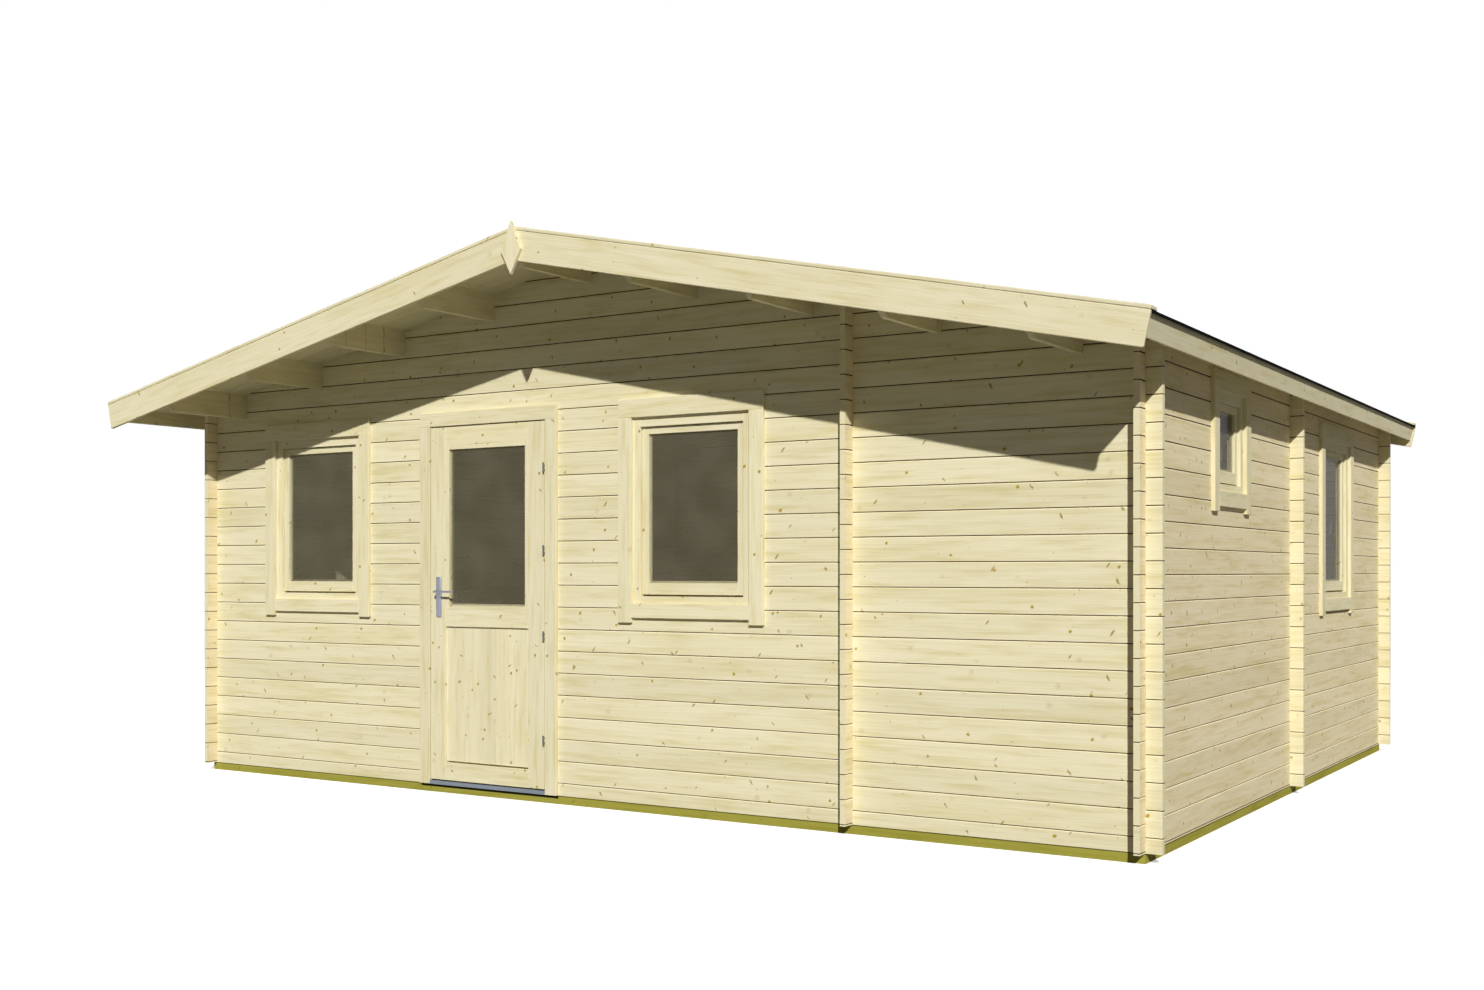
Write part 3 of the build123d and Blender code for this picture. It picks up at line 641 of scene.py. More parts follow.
def slope_plank(side, reach, middle_y, width_y, lift, depth, edge=board_edge):
    """Plank up one slope, plumb at both ends: its middle lies lift above the boards' underside."""
    up, off = slope_frame(side)
    end = np.array([0.0, middle_y, ridge_underside + lift / math.cos(roof_pitch)])
    start = end - up * reach / math.cos(roof_pitch)
    plumb = (0.0, math.tan(roof_pitch))
    return plank(start, end, (0.0, width_y, 0.0), off * depth, plumb, plumb, edge)


boards_low, boards_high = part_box("roof_boards_right")
roof_reach = boards_high[0]
roof_front, roof_back = boards_low[1], boards_high[1]
ridge_underside = boards_high[2] - board_thickness / math.cos(roof_pitch)
board_count = round((roof_back - roof_front) / roof_board_width)
board_step = (roof_back - roof_front) / board_count
board_middles = roof_front + board_step * (np.arange(board_count) + 0.5)
for name, side in ridge_side.items():
    items = [
        slope_plank(side, roof_reach, middle, board_step - board_gap, board_thickness / 2, board_thickness)
        for middle in board_middles
    ]
    planks("roof_boards_" + name + "_planks", items, "cabin", ["roof_boards_" + name])
print("ridge underside at", round(ridge_underside, 3), "m,", board_count, "boards a side")

# %% [markdown]
# ## Bargeboards, cover strips and fascias
#
# The gable edge is closed by a deep board, topped with a flat strip that holds the felt down; a
# fine gap between them shows as a dark line. Both are planks up the slope. The bargeboard is
# plumb at the ridge, where the two meet, and square at its lower end, so its two cuts differ.
# The fascia under the eave stands square to the roof boards, so it leans with the slope and
# catches less of the light than an upright wall.

# %% Boards round the roof's edge
bargeboard_depth = 0.145
strip_thickness = 0.016
strip_width = 0.080
strip_edge = 0.003
strip_gap = 0.0018
bargeboard_edge = 0.0035
fascia_height = 0.078
fascia_thickness = 0.018


def bargeboard(name, side):
    """Bargeboard plank: its upper edge runs a shadow gap under the cover strip, its lower end is square."""
    low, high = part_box(name)
    up, off = slope_frame(side)
    middle_y = (low[1] + high[1]) / 2
    corner = np.array([side * max(abs(low[0]), abs(high[0])), middle_y, 0.0])
    top = np.array([0.0, middle_y, high[2]])
    corner[2] = top[2] - abs(corner[0]) * math.tan(roof_pitch)
    sunk = (bargeboard_depth + strip_gap) / 2
    start = corner - off * sunk
    end = start + up * (np.dot(top - corner, up) - math.tan(roof_pitch) * sunk)
    plumb = (math.tan(roof_pitch), 0.0)
    across, through = off * (bargeboard_depth - strip_gap), (0, high[1] - low[1], 0)
    return plank(start, end, across, through, end_cut=plumb, edge=bargeboard_edge)


def leaning_fascia(side):
    """Fascia plank: hung from the corner of the roof boards, its height square to the slope."""
    up, off = slope_frame(side)
    corner = np.array([side * roof_reach, 0.0, ridge_underside - roof_reach * math.tan(roof_pitch)])
    middle = corner + up * fascia_thickness / 2 - off * fascia_height / 2
    ends = [middle + np.array([0.0, y, 0.0]) for y in (roof_front, roof_back)]
    return plank(*ends, off * fascia_height, up * fascia_thickness)


for end_name in ("front", "back"):
    for name, side in ridge_side.items():
        node = end_name + "_bargeboard_" + name
        planks(node + "_plank", [bargeboard(node, side)], "cabin", [node])

strip_low, strip_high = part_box("bargeboard_cover_strips")
strip_reach = strip_high[0]
strip_lift = (strip_high[2] - ridge_underside) * math.cos(roof_pitch) - strip_thickness / 2
strip_middles = (strip_low[1] + strip_width / 2, strip_high[1] - strip_width / 2)
strips = [
    slope_plank(side, strip_reach, middle, strip_width, strip_lift, strip_thickness, strip_edge)
    for middle in strip_middles for side in ridge_side.values()
]
planks("cover_strip_planks", strips, "cabin", ["bargeboard_cover_strips"])

for name, side in ridge_side.items():
    planks(name + "_fascia_plank", [leaning_fascia(side)], "cabin", [name + "_eave_fascia"])

# %% [markdown]
# ## Ridge finials
#
# A pointed board covers the joint of the two bargeboards at each gable. It is a kite with eased
# edges: the outline is carried through the thickness and drawn in towards its middle at both
# faces. The grain stands upright, as on the real piece, so that the points don't split off.

# %% Kite-shaped boards
finial_thickness = 0.018
finial_ease = 0.001
finial_shoulder = 0.54
finial_slimness = 0.8


def kite_board(low, high, ease):
    """Kite between two corners: four outline points carried through y, drawn in by ease at both faces."""
    middle_x, half = (low[0] + high[0]) / 2, (high[0] - low[0]) / 2
    shoulder = high[2] - (high[2] - low[2]) * finial_shoulder
    tips = [[middle_x, low[2]], [middle_x + half, shoulder], [middle_x, high[2]], [middle_x - half, shoulder]]
    outline = np.array(tips)
    heart = np.array([middle_x, shoulder])
    depths = np.array([low[1], low[1] + ease, high[1] - ease, high[1]])
    drawn = 1 - np.array([ease, 0, 0, ease]) / (half * finial_slimness)
    flat = heart + (outline - heart)[None] * drawn[:, None, None]
    points = np.stack([flat[..., 0], np.broadcast_to(depths[:, None], flat.shape[:2]), flat[..., 1]], axis=-1)
    sides, caps = tube_faces(*points.shape[:2])
    faces = sides.tolist() + caps
    flat_points = points.reshape(-1, 3)
    corners = flat_points[np.concatenate([np.array(face) for face in faces])]
    grain = corners[:, [2, 0]] + corners[:, [1, 1]] + chance.uniform(0, map_reach, 2)
    return flat_points, faces, grain, np.full(len(flat_points), chance.uniform())


low, high = (np.array(corner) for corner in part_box("ridge_finials"))
front_high, back_low = high.copy(), low.copy()
front_high[1] = low[1] + finial_thickness
back_low[1] = high[1] - finial_thickness
kites = [kite_board(low, front_high, finial_ease), kite_board(back_low, high, finial_ease)]
make_piece("finial_kites", kites, plank_wood, "cabin", ["ridge_finials"])

# %% [markdown]
# ## Roofing felt
#
# The roof is covered with black mineral felt in rolls laid along the eave, each lapping over the
# one below. One outline across the slope holds all of it: it climbs a few millimetres at each
# lap and has a lip folded down at the eave. That outline is carried from gable to gable, with
# a faint ripple, because felt never lies quite flat. Wide flat nails hold every lap.

# %% Felt in lapped rolls
felt_roll = 0.80
felt_thickness = 0.007
felt_ply = 0.0022
felt_lip = 0.011
felt_lip_depth = 0.004
ripple = 0.0005
ripple_waves = (9.0, 5.0)
ripple_start = 1.0
felt_stations = 61
felt_black = screen_colour(9, 9, 10)
felt_grit = screen_colour(92, 93, 96)
felt_stain = screen_colour(16, 16, 17)
felt_gloss = 0.02
felt_roughness = (0.82, 0.96)
upper_facing = (0.3, 0.8)
grit_waves = (900.0, 900.0, 900.0)
grit_limits = (0.35, 0.75)
grit_bump = {"Strength": 0.5, "Distance": 0.0008}
stain_waves = (1.6, 1.6, 1.6)
stain_detail = 4.0
stain_limits = (0.4, 0.7)
stain_cover = 0.2

felt, tree, shader = new_material("mineral_felt")
place = add(tree, "TexCoord", {}).outputs["Object"]
grit = noise(tree, place, grit_waves)
stains = noise(tree, place, stain_waves, stain_detail)
facing = add(tree, "SeparateXYZ", {0: add(tree, "NewGeometry", {}).outputs["True Normal"]}).outputs[2]
upper = remap(tree, facing, upper_facing, (0.0, 1.0))
speckle = calc(tree, "MULTIPLY", remap(tree, grit, grit_limits, (0.0, 1.0)), upper)
felt_colour = mix(tree, speckle, felt_black, felt_grit)
felt_colour = mix(tree, remap(tree, stains, stain_limits, (0.0, stain_cover)), felt_colour, felt_stain)
tree.links.new(felt_colour, shader.inputs["Base Color"])
tree.links.new(remap(tree, stains, noise_limits, felt_roughness), shader.inputs["Roughness"])
shader.inputs["Specular IOR Level"].default_value = felt_gloss
bump = add(tree, "Bump", {"Height": grit, **grit_bump})
tree.links.new(bump.outputs[0], shader.inputs["Normal"])

felt_low, felt_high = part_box("roof_felt")
felt_reach = felt_high[0]
felt_slope = felt_reach / math.cos(roof_pitch)
felt_base = board_thickness


def felt_outline():
    """Closed outline of one slope as (distance down from the ridge, height off the boards)."""
    laps = np.arange(felt_roll, felt_slope, felt_roll)
    before = np.stack([laps, np.full(len(laps), felt_thickness)], axis=-1)
    after = np.stack([laps, np.full(len(laps), felt_thickness - felt_ply)], axis=-1)
    ridge = [[0.0, felt_thickness - felt_ply]]
    climbs = np.stack([before, after], axis=1).reshape(-1, 2)
    lip, lip_back = felt_thickness - felt_lip, felt_slope - felt_lip_depth
    edge = [[felt_slope, felt_thickness], [felt_slope, lip], [lip_back, lip], [lip_back, 0.0], [0.0, 0.0]]
    return np.concatenate([ridge, climbs, edge])


def felt_slope_surface(side):
    """Felt outline carried along y; the upper side ripples by a product of two slow sines."""
    outline = felt_outline()
    up, off = slope_frame(side)
    ridge = np.array([0.0, 0.0, ridge_underside])
    y = np.linspace(felt_low[1], felt_high[1], felt_stations)
    wave = np.sin(y[:, None] * ripple_waves[0]) * np.sin(outline[None, :, 0] * ripple_waves[1] + ripple_start)
    height = felt_base + outline[None, :, 1] - ripple * np.abs(wave) * (outline[None, :, 1] > 0)
    slide = outline[None, :, 0] - height * math.tan(roof_pitch)
    points = ridge - slide[..., None] * up + height[..., None] * off
    points[..., 1] = y[:, None]
    sides, caps = tube_faces(*points.shape[:2])
    return with_map(points, sides.tolist() + caps)


slopes = [felt_slope_surface(side) for side in ridge_side.values()]
make_piece("felt_rolls", slopes, felt, "cabin", ["roof_felt"])

# %% [markdown]
# ## Metal
#
# The fittings are dull zinc-plated steel, and the threshold is a drawn aluminium bar. Plating
# is mottled and drawn metal has fine lines along its length: both are noise, stretched
# along one direction for the bar, and they change the gloss more than the colour.

# %% Finishes for fittings, and felt nails
# Each metal: its colour, the waves of its marks per metre along x, y and z, and the limits of its roughness.
metals = {
    "zinc_fittings": (screen_colour(158, 162, 174), (260.0, 260.0, 260.0), (0.36, 0.52)),
    "felt_nails": (screen_colour(92, 93, 96), (400.0, 400.0, 400.0), (0.6, 0.8)),
    "hinge_steel": (screen_colour(124, 121, 122), (300.0, 300.0, 300.0), (0.4, 0.55)),
    "drawn_aluminium": (screen_colour(134, 141, 152), (4.0, 700.0, 700.0), (0.3, 0.45)),
}
mottle_detail = 3.0
mottle_dim = screen_colour(225, 225, 225)
mottle_bump = {"Strength": 0.08, "Distance": 0.0002}
nail_spacing = 0.12
nail_rise = nail_spacing / 3
nail_radius = 0.005
nail_sides = 8
nail_head = 0.0008
nail_dome = (0.6, 0.7)
nail_sink = 0.1


def metal(name, colour, stretch, rough):
    """Metal whose gloss and tint follow noise with its own scale along each axis."""
    material, tree, shader = new_material(name)
    place = add(tree, "TexCoord", {}).outputs["Object"]
    marks = noise(tree, place, stretch, mottle_detail)
    dull = mix(tree, 1.0, colour, mottle_dim, "MULTIPLY")
    mottled = mix(tree, remap(tree, marks, noise_limits, (0.0, 1.0)), colour, dull)
    tree.links.new(mottled, shader.inputs["Base Color"])
    tree.links.new(remap(tree, marks, noise_limits, rough), shader.inputs["Roughness"])
    shader.inputs["Metallic"].default_value = 1.0
    bump = add(tree, "Bump", {"Height": marks, **mottle_bump})
    tree.links.new(bump.outputs[0], shader.inputs["Normal"])
    return material


zinc, dull_zinc, hinge_steel, drawn_bar = (metal(name, *finish) for name, finish in metals.items())


def nail_heads(centres, off):
    """Low domes: rings of points round each centre, height falling with the square of the radius."""
    turns = np.linspace(0, 2 * math.pi, nail_sides + 1)[:-1]
    axis_a = np.array([0.0, 1.0, 0.0])
    spokes = np.cos(turns)[:, None] * axis_a + np.sin(turns)[:, None] * np.cross(off, axis_a)
    shares = np.array([1.0, 1.0, nail_dome[0]])
    heights = np.array([-nail_head, 0.0, nail_head * nail_dome[1]])
    points = centres[:, None, None, :] + shares[:, None, None] * nail_radius * spokes
    points = points + heights[:, None, None] * off
    rows, count = len(heights), len(turns)
    sides, caps = tube_faces(rows, count)
    shift = np.arange(len(centres)) * rows * count
    sides = (sides[None] + shift[:, None, None]).reshape(-1, 4)
    ends = (np.array(caps)[None] + shift[:, None, None]).reshape(-1, count)
    return with_map(points, sides.tolist() + ends.tolist())


def lap_nails(side):
    """Nails in rows just above each lap of one slope."""
    up, off = slope_frame(side)
    laps = np.arange(felt_roll, felt_slope, felt_roll) - nail_rise
    y = np.arange(felt_low[1] + nail_spacing, felt_high[1] - nail_spacing / 2, nail_spacing)
    grid = np.stack(np.meshgrid(laps, y, indexing="ij"), axis=-1).reshape(-1, 2)
    height = felt_base + felt_thickness - felt_ply * nail_sink
    slide = grid[:, :1] - height * math.tan(roof_pitch)
    centres = np.array([0.0, 0.0, ridge_underside]) - slide * up + height * off
    centres[:, 1] = grid[:, 1]
    return nail_heads(centres, off)


nails = [lap_nails(side) for side in ridge_side.values()]
make_piece("felt_nails", nails, dull_zinc, "cabin")

# %% [markdown]
# ## Windows
#
# A window is three frames one inside the other: casing boards flat on the wall, a fixed frame in
# the wall, and the sash with its glass. The solid parts give the outer size of each, so the
# planks are laid out from those boxes: uprights run past the rails, the head board of the casing
# covers both uprights, and the sill board sits between them. Inside the room a thin moulding
# holds the glass, and a small handle hangs on one stile of each sash.

# %% Planks of the windows
casing_board = 0.080
head_board = 0.093
sill_board = 0.073
casing_drop = 0.025
frame_member = 0.060
frame_lip = 0.012
sash_stile = 0.038
sash_top_rail = 0.034
sash_bottom_rail = 0.058
sash_gap = 0.003
sash_foot_gap = 0.009
glass_thickness = 0.004
glass_set_back = 0.012
bead_width = 0.010
bead_depth = 0.014
bead_shift = 0.37
bead_steps = 5


def wall_plank(along, a, d, z, upright, edge=plank_edge):
    """Plank in a wall from its ranges along the wall, through it and upwards, grain upright or along."""
    ranges = [sorted(pair) for pair in ((a, d, z) if along == 0 else (d, a, z))]
    low, high = zip(*ranges)
    return plank_in(low, high, 2 if upright else along, edge)


def ring_planks(along, a, d, z, sides, top, bottom, edge=plank_edge):
    """Two uprights over the whole height with a top and a bottom rail between them."""
    inner = (a[0] + sides, a[1] - sides)
    return [
        wall_plank(along, (a[0], inner[0]), d, z, True, edge),
        wall_plank(along, (inner[1], a[1]), d, z, True, edge),
        wall_plank(along, inner, d, (z[1] - top, z[1]), False, edge),
        wall_plank(along, inner, d, (z[0], z[0] + bottom), False, edge),
    ]


def bead(along, a, z, face, outward):
    """Mitred moulding round an opening: a quarter-round profile carried round four corners."""
    turns = np.radians(np.linspace(0.0, 90.0, bead_steps))
    inward = np.concatenate([[0.0], bead_width * np.cos(turns)])
    raised = np.concatenate([[0.0], bead_depth * np.sin(turns)])
    signs = np.array([[-1, -1], [1, -1], [1, 1], [-1, 1]])
    corners = np.where(signs < 0, [a[0], z[0]], [a[1], z[1]])
    at_a = corners[:, :1] - signs[:, :1] * inward
    at_z = corners[:, 1:] - signs[:, 1:] * inward
    at_d = np.broadcast_to(face + outward * raised, at_a.shape)
    points = np.stack([at_a, at_d, at_z] if along == 0 else [at_d, at_a, at_z], axis=-1)
    rows, count = len(corners), len(inward)
    i, j = np.meshgrid(np.arange(rows), np.arange(count), indexing="ij")
    n, k = (i + 1) % rows, (j + 1) % count
    faces = np.stack([i * count + j, n * count + j, n * count + k, i * count + k], axis=-1).reshape(-1, 4)
    run = np.array([a[1] - a[0], z[1] - z[0], a[1] - a[0], z[1] - z[0]])
    u = np.stack([0 * i, run[i], run[i], 0 * i], axis=-1)
    v = np.stack([j, j, j + 1, j + 1], axis=-1) * bead_width / count + i[..., None] * bead_shift
    grain = np.stack([u, v], axis=-1).reshape(-1, 2) + chance.uniform(0, map_reach, 2)
    flat = points.reshape(-1, 3)
    return flat, faces.tolist(), grain, np.full(len(flat), chance.uniform())


def casing_planks(along, a, d, z):
    """Head board over two uprights, and a sill board a little above their feet."""
    inner = (a[0] + casing_board, a[1] - casing_board)
    head = z[1] - head_board
    sill = z[0] + casing_drop
    return [
        wall_plank(along, (a[0], inner[0]), d, (z[0], head), True),
        wall_plank(along, (inner[1], a[1]), d, (z[0], head), True),
        wall_plank(along, a, d, (head, z[1]), False),
        wall_plank(along, inner, d, (sill, sill + sill_board), False),
    ]


def part_ranges(name, along):
    """Ranges of a solid part along the wall, through it and upwards."""
    low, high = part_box(name)
    return [(low[axis], high[axis]) for axis in (along, 1 - along, 2)]


def dress_window(name, along, outward):
    """Casing, frame, sash and beads of one window; returns the sash's ranges."""
    casing_items = casing_planks(along, *part_ranges(name + "_window_casing", along))
    planks(name + "_casing_planks", casing_items, "cabin", [name + "_window_casing"])
    a, d, z = part_ranges(name + "_window_frame", along)
    sash_a, sash_d, sash_z = part_ranges(name + "_window_sash", along)
    front, back = (d[1], d[0]) if outward > 0 else d
    sash_front, sash_back = (sash_d[1], sash_d[0]) if outward > 0 else sash_d
    foot = frame_member + sash_gap - sash_foot_gap
    rim = frame_member + sash_gap + frame_lip
    frame_items = ring_planks(along, a, (front, sash_back), z, frame_member, frame_member, foot)
    frame_items += ring_planks(along, a, (sash_back, back), z, rim, rim, rim)
    planks(name + "_frame_planks", frame_items, "cabin", [name + "_window_frame"])
    sash_items = ring_planks(along, sash_a, sash_d, sash_z, sash_stile, sash_top_rail, sash_bottom_rail)
    open_a = (sash_a[0] + sash_stile, sash_a[1] - sash_stile)
    open_z = (sash_z[0] + sash_bottom_rail, sash_z[1] - sash_top_rail)
    glass_back = sash_front - outward * (glass_set_back + glass_thickness)
    surfaces = [plank_surface(item) for item in sash_items]
    surfaces.append(bead(along, open_a, open_z, glass_back, -outward))
    stands_for = [name + "_window_sash"]
    make_piece(name + "_sash_planks", surfaces, plank_wood, "cabin", stands_for)
    return sash_a, sash_back, sash_z


window_sides = {"front_left": (0, -1), "front_right": (0, -1), "right_tall": (1, 1), "right_small": (1, 1)}
sashes = {name: dress_window(name, *sides) for name, sides in window_sides.items()}

# %% [markdown]
# ## Bars and turned pieces
#
# A handle is a round bar that leaves its plate, bends a quarter turn and runs along. Its surface
# is an ellipse carried down that path, with a round end where the ellipse shrinks to nothing. A
# hinge barrel or a collar is a profile turned round an axis. Both are grids of two
# parameters: the place along the path or profile, and the turn round it.

# %% Formulas for bars, and the handles of the windows
bar_sides = 20
bend_steps = 9
tip_steps = 6
tip_turn = 80.0
round_turns = np.linspace(0.0, 2 * math.pi, bar_sides + 1)[:-1]


def bent_bar(start, out, along, reach, length, bend, neck, grip):
    """Ellipse carried straight out, round a quarter circle of radius bend, and along to a round end."""
    start, out, along = (np.array(v, float) for v in (start, out, along))
    arc = np.radians(np.linspace(0.0, 90.0, bend_steps))
    tip = np.radians(np.linspace(0.0, tip_turn, tip_steps))
    turn = np.concatenate([[0.0], arc, np.full(len(tip), math.pi / 2)])
    at_out = np.concatenate([[0.0], reach - bend + bend * np.sin(arc), np.full(len(tip), reach)])
    at_along = np.concatenate([[0.0], bend - bend * np.cos(arc), length - grip[0] + grip[0] * np.sin(tip)])
    shrink = np.concatenate([np.ones(1 + len(arc)), np.cos(tip)])
    share = np.sin(turn)
    half_side = (neck + (grip[0] - neck) * share) * shrink
    half_up = (neck + (grip[1] - neck) * share) * shrink
    side = np.cos(turn)[:, None] * along - np.sin(turn)[:, None] * out
    up = np.cross(out, along)
    middle = start + at_out[:, None] * out + at_along[:, None] * along
    points = middle[:, None] + (half_side[:, None] * np.cos(round_turns))[..., None] * side[:, None]
    points = points + (half_up[:, None] * np.sin(round_turns))[..., None] * up
    sides, caps = tube_faces(*points.shape[:2])
    return with_map(points, sides.tolist() + caps)


def turned(foot, axis, radii, heights):
    """Profile of radius against height, turned round an axis from its foot."""
    foot, axis = np.array(foot, float), np.array(axis, float)
    first = np.cross(axis, np.roll(axis, 1))
    first = first / np.linalg.norm(first)
    second = np.cross(axis, first)
    spokes = np.cos(round_turns)[:, None] * first + np.sin(round_turns)[:, None] * second
    points = foot + np.array(radii)[:, None, None] * spokes + np.array(heights)[:, None, None] * axis
    sides, caps = tube_faces(*points.shape[:2])
    return with_map(points, sides.tolist() + caps)


handle_plate = (0.024, 0.064, 0.004)
handle_neck = 0.006
handle_grip = (0.005, 0.007)
handle_reach = 0.034
handle_length = 0.085
handle_bend = 0.012
handle_edge = 0.001
handle_corner = 0.005


def window_handle(along, outward, sash):
    """Plate on the inner face of one stile with a bar that hangs down from it."""
    sash_a, face, sash_z = sash
    unit = np.eye(3)
    out = -outward * unit[1 - along]
    place = unit[along] * (sash_a[1] - sash_stile / 2) + unit[1 - along] * face
    place = place + unit[2] * (sash_z[0] + sash_z[1]) / 2
    width, height, depth = handle_plate
    across, through = unit[along] * width, unit[2] * height
    plate = plank(place, place + out * depth, across, through, edge=handle_edge, corner=handle_corner)
    top = place + unit[2] * height / 4
    bar = bent_bar(top, out, -unit[2], handle_reach, handle_length, handle_bend, handle_neck, handle_grip)
    return [plank_surface(plate), bar]


for name, (along, outward) in window_sides.items():
    surfaces = window_handle(along, outward, sashes[name])
    make_piece(name + "_sash_handle", surfaces, zinc, "cabin", smooth=True)

# %% [markdown]
# ## Glass
#
# The rooms behind the panes are dim, so the glass looks brownish grey, and dust lies on it. A
# bending glass shader would keep the lamp out of the rooms. A thin see-through film lets light
# pass straight on and mirrors a little of the surround. Its brownish grey is painted in as the
# look of the dim rooms behind, and the grey of the dust is mottled over it.

# %% Finish for the panes
# Painted tint that stands for the dim rooms behind the glass; the dust is mottled over it.
painted_room_tint = screen_colour(124, 118, 96)
pane_dust = screen_colour(142, 136, 114)
pane_cover = 0.28
pane_gloss = 0.1
pane_index = 1.5
pane_roughness = (0.02, 0.06)
dust_waves = (5.0, 5.0, 5.0)
dust_detail = 4.0
dust_limits = (0.35, 0.7)
smear_limits = (0.45, 0.75)

pane, tree, shader = new_material("window_glass")
place = add(tree, "TexCoord", {}).outputs["Object"]
dust = noise(tree, place, dust_waves, dust_detail)
film = mix(tree, remap(tree, dust, dust_limits, (0.0, 1.0)), painted_room_tint, pane_dust)
tree.links.new(film, shader.inputs["Base Color"])
tree.links.new(remap(tree, dust, smear_limits, pane_roughness), shader.inputs["Roughness"])
shader.inputs["Alpha"].default_value = pane_cover
shader.inputs["IOR"].default_value = pane_index
shader.inputs["Specular IOR Level"].default_value = pane_gloss
dress(pane, "window_glass", "door_glass")
print("panes:", "window_glass", "door_glass")

# %% [markdown]
# ## Door
#
# The leaf is a joiner's frame: two stiles over the whole height, three rails between them, glass
# above and upright boards below. Stops as wide as a finger hold the glass. The boards end a little
# above the bottom rail, which has a groove behind its front edge, so the gap reads as a dark
# line. The leaf is of knottier wood than the rest. Frame, stops and casing stand still, and the
# leaf's pieces ride on the door, so they swing with it.

# %% Planks of the doorway and the leaf
leaf_stile = 0.108
glass_stop = 0.023
leaf_mid_rail = 0.115
leaf_bottom_rail = 0.097
panel_set_back = 0.012
panel_thickness = 0.020
panel_boards = 5
panel_foot_gap = 0.0075
panel_edge = 0.0006
rail_groove = 0.010
door_casing_board = 0.075
jamb_width = 0.036
stop_face = 0.0187
leaf_knots = 1.6


def portal_planks(name, member):
    """Two uprights and the head board across both, from the box of a solid part."""
    a, d, z = part_ranges(name, 0)
    head = z[1] - member
    return [
        wall_plank(0, (a[0], a[0] + member), d, (z[0], head), True),
        wall_plank(0, (a[1] - member, a[1]), d, (z[0], head), True),
        wall_plank(0, a, d, (head, z[1]), False),
    ]


planks("door_casing_planks", portal_planks("door_casing", door_casing_board), "cabin", ["door_casing"])
planks("door_frame_planks", portal_planks("door_frame", jamb_width), "cabin", ["door_frame"])
planks("door_stop_planks", portal_planks("door_stops", stop_face), "cabin", ["door_stops"])

leaf_wood = plank_finish("spruce_leaf", leaf_knots)
leaf_a, leaf_d, leaf_z = part_ranges("door_leaf", 0)
field_a = (leaf_a[0] + leaf_stile, leaf_a[1] - leaf_stile)
pane_a = (field_a[0] + glass_stop, field_a[1] - glass_stop)
glass_a, glass_d, glass_z = part_ranges("door_glass", 0)
glass_bite = pane_a[0] - glass_a[0]
pane_z = (glass_z[0] + glass_bite, glass_z[1] - glass_bite)
stop_z = (pane_z[0] - glass_stop, pane_z[1] + glass_stop)
panel_z = (leaf_z[0] + leaf_bottom_rail, pane_z[0] - leaf_mid_rail)
panel_front = leaf_d[0] + panel_set_back
leaf_items = [
    wall_plank(0, (leaf_a[0], field_a[0]), leaf_d, leaf_z, True),
    wall_plank(0, (field_a[1], leaf_a[1]), leaf_d, leaf_z, True),
    wall_plank(0, field_a, leaf_d, (stop_z[1], leaf_z[1]), False),
    wall_plank(0, field_a, leaf_d, (panel_z[1], stop_z[0]), False),
    wall_plank(0, field_a, (leaf_d[0], panel_front), (leaf_z[0], panel_z[0]), False),
    wall_plank(0, field_a, (panel_front, leaf_d[1]), (leaf_z[0], panel_z[0] - rail_groove), False),
]
leaf_items += ring_planks(0, field_a, leaf_d, stop_z, glass_stop, glass_stop, glass_stop)
leaf_surfaces = [plank_surface(item) for item in leaf_items]
leaf_surfaces.append(bead(0, pane_a, pane_z, glass_d[1], 1))
make_piece("door_leaf_planks", leaf_surfaces, leaf_wood, "door", ["door_leaf"])

panel_d = (panel_front, panel_front + panel_thickness)
panel_edges = np.linspace(field_a[0], field_a[1], panel_boards + 1)
panel_items = [
    wall_plank(0, (left, right), panel_d, (panel_z[0] + panel_foot_gap, panel_z[1]), True, panel_edge)
    for left, right in zip(panel_edges[:-1], panel_edges[1:])
]
foot_d = (panel_d[1], leaf_d[1])
foot_z = (panel_z[0] - rail_groove, panel_z[0] + panel_foot_gap + rail_groove)
panel_items.append(wall_plank(0, field_a, foot_d, foot_z, False))
planks("door_panel_planks", panel_items, "door", ["door_panel"], finish=leaf_wood)

# %% [markdown]
# ## Door fittings
#
# The lever handles, their plates, four hinges and the threshold are grey metal. The two bars turn
# together about the spindle, so they are one piece that rides on the lever. The plates and the
# upper hinge barrels ride on the door, and the lower barrels stay with the frame. The threshold
# is a drawn bar: one ribbed outline carried from jamb to jamb.

# %% Lever, plates, hinges and threshold
lever_reach = 0.048
lever_tip = 0.131
lever_neck = 0.007
lever_grip = (0.0055, 0.006)
lever_bend = 0.012
plate_edge = 0.0015
plate_corner = 0.006
screw_inset = 0.016
knuckle_radius = 0.006
barrel_radius = 0.0046
barrel_height = 0.0257
barrel_ease = 0.0012
pin_radius = 0.003
pin_lean = 0.3
hinge_spread = 0.1
nose_depth = 0.020
nose_radius = 0.003
nose_steps = 7
rib_count = 3
rib_steps = 8
rib_height = 0.002

spindle_low, spindle_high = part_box("door_lever")
spindle_z = (spindle_low[2] + spindle_high[2]) / 2
plates_a, plates_d, plates_z = part_ranges("door_handle_plates", 0)
spindle_x = (plates_a[0] + plates_a[1]) / 2
leaf_faces = ((leaf_d[0], -1), (leaf_d[1], 1))
lever_sizes = (lever_reach, lever_tip, lever_bend, lever_neck, lever_grip)
bars = [
    bent_bar((spindle_x, face, spindle_z), (0, way, 0), (1, 0, 0), *lever_sizes) for face, way in leaf_faces
]
make_piece("lever_bars", bars, zinc, "lever", ["door_lever"], smooth=True)

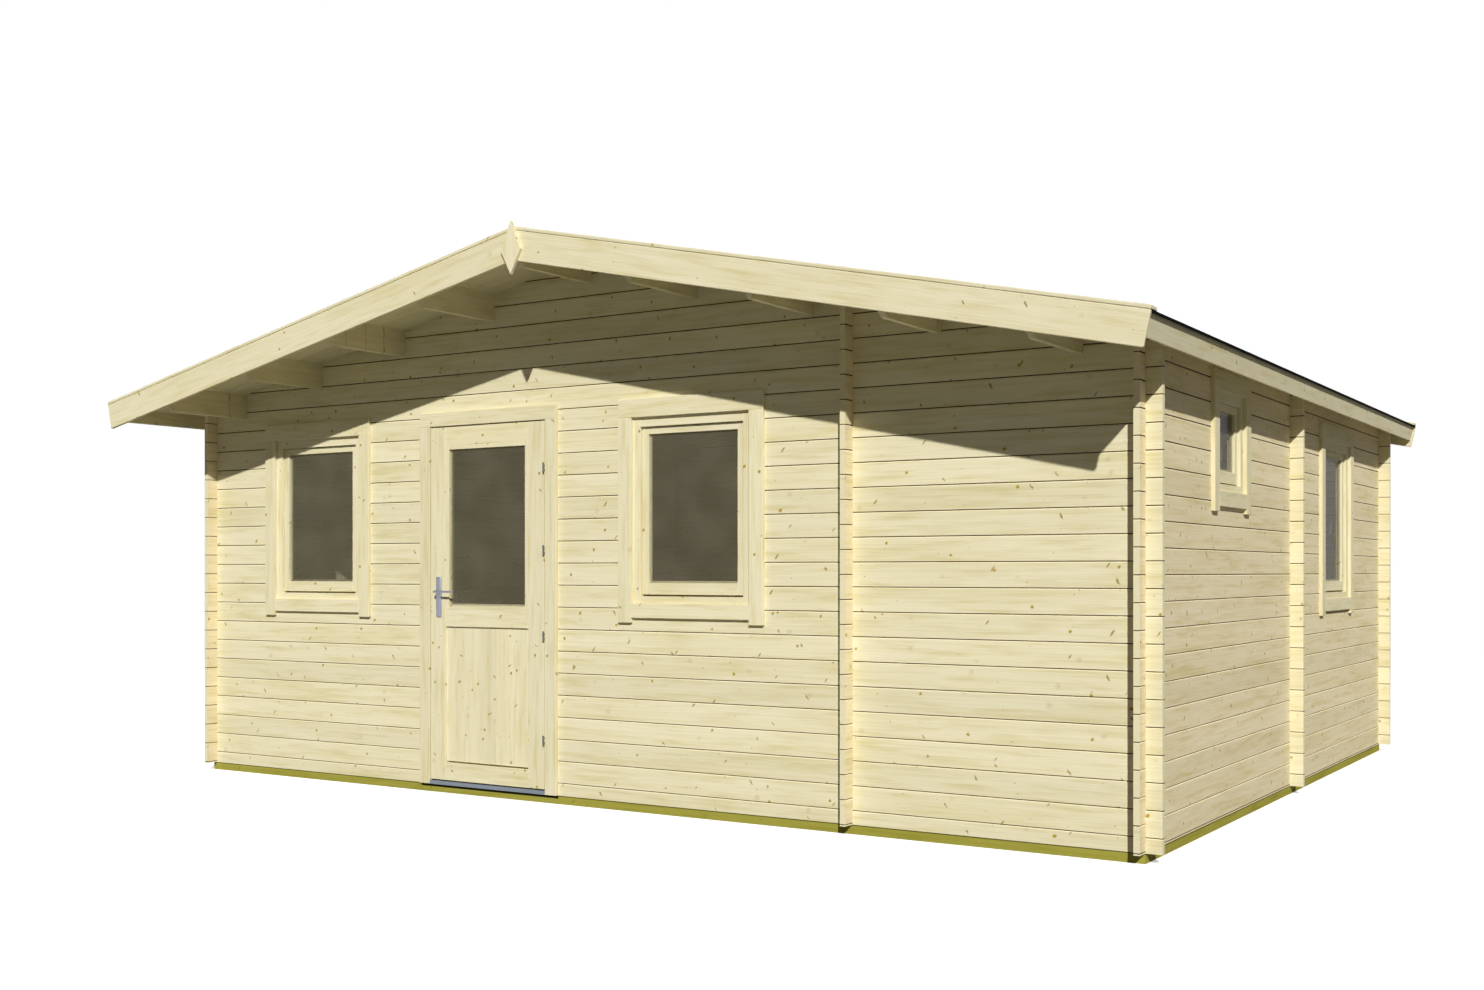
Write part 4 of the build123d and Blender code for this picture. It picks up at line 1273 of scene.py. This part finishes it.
plate_height = plates_z[1] - plates_z[0]
plate_middle = (plates_z[0] + plates_z[1]) / 2
plate_thickness = leaf_d[0] - plates_d[0]
plates = []
for face, way in leaf_faces:
    back = np.array([spindle_x, face, plate_middle])
    front = back + np.array([0.0, way * plate_thickness, 0.0])
    width = (plates_a[1] - plates_a[0], 0, 0)
    plate = plank(back, front, width, (0, 0, plate_height), edge=plate_edge, corner=plate_corner)
    plates.append(plank_surface(plate))
    reach = plate_height / 2 - screw_inset
    screws = front + np.array([[0.0, 0.0, reach], [0.0, 0.0, -reach]])
    plates.append(nail_heads(screws, np.array([0.0, way, 0.0])))
make_piece("handle_plates", plates, zinc, "door", ["door_handle_plates"], smooth=True)


def solid_middles(node):
    """Middle heights of the separate solids of a part: its corners' heights, split at every wide gap."""
    mesh = nodes[node].data
    places = np.empty(len(mesh.vertices) * 3)
    mesh.vertices.foreach_get("co", places)
    heights = np.sort(places[2::3])
    groups = np.split(heights, np.flatnonzero(np.diff(heights) > hinge_spread) + 1)
    return [(group[0] + group[-1]) / 2 for group in groups]


def hinge_half(node, side):
    """Turned barrels with eased ends, and the pins that hold them, for every hinge's upper or lower half."""
    low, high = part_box(node)
    axis_x = low[0] + knuckle_radius if side > 0 else high[0] - knuckle_radius
    axis_y = low[1] + knuckle_radius
    pin = np.array([side * pin_lean, 1.0, 0.0])
    pin_length = (high[1] - axis_y) * np.linalg.norm(pin) - pin_radius
    steps = np.array([0.0, barrel_ease, barrel_height - barrel_ease, barrel_height])
    radii = barrel_radius - np.array([barrel_ease, 0.0, 0.0, barrel_ease])
    surfaces = []
    for middle in solid_middles(node):
        surfaces.append(turned((axis_x, axis_y, middle - barrel_height / 2), (0, 0, 1), radii, steps))
        ends = np.array([0.0, pin_length])
        surfaces.append(turned((axis_x, axis_y, middle), pin / np.linalg.norm(pin), [pin_radius] * 2, ends))
    return surfaces


for node, side, body in (("leaf_hinge_knuckles", -1, "door"), ("frame_hinge_knuckles", 1, "cabin")):
    barrels = hinge_half(node, side)
    make_piece(node + "_turned", barrels, hinge_steel, body, [node], smooth=True)


def carried(outline, a):
    """Outline of places through the wall and upwards, carried along x between two ends."""
    rows = np.array(a)[:, None] + 0 * outline[None, :, 0]
    points = np.stack([rows, *np.broadcast_to(outline.T[:, None], (2, *rows.shape))], axis=-1)
    sides, caps = tube_faces(*points.shape[:2])
    return with_map(points, sides.tolist() + caps)


sill_a, sill_d, sill_z = part_ranges("door_threshold", 0)
nose_back = sill_d[0] + nose_depth
turns = np.radians(np.linspace(180.0, 90.0, nose_steps))
nose_y = np.concatenate([[sill_d[0]], sill_d[0] + nose_radius * (1 + np.cos(turns)), [nose_back, nose_back]])
nose_z = np.concatenate([[sill_z[0]], sill_z[1] - nose_radius * (1 - np.sin(turns)), [sill_z[1], sill_z[0]]])
step_y = np.linspace(nose_back, sill_d[1], rib_steps * rib_count + 1)
step_turn = np.linspace(0.0, 2 * math.pi * rib_count, len(step_y))
step_y = np.concatenate([[nose_back], step_y, [sill_d[1]]])
step_z = np.concatenate([[sill_z[0]], sill_z[1] - rib_height * (1 - np.cos(step_turn)) / 2, [sill_z[0]]])
nose = carried(np.stack([nose_y, nose_z], axis=-1), (sill_a[0] + jamb_width, sill_a[1] - jamb_width))
step = carried(np.stack([step_y, step_z], axis=-1), sill_a)
make_piece("threshold_bar", [nose, step], drawn_bar, "cabin", ["door_threshold"])
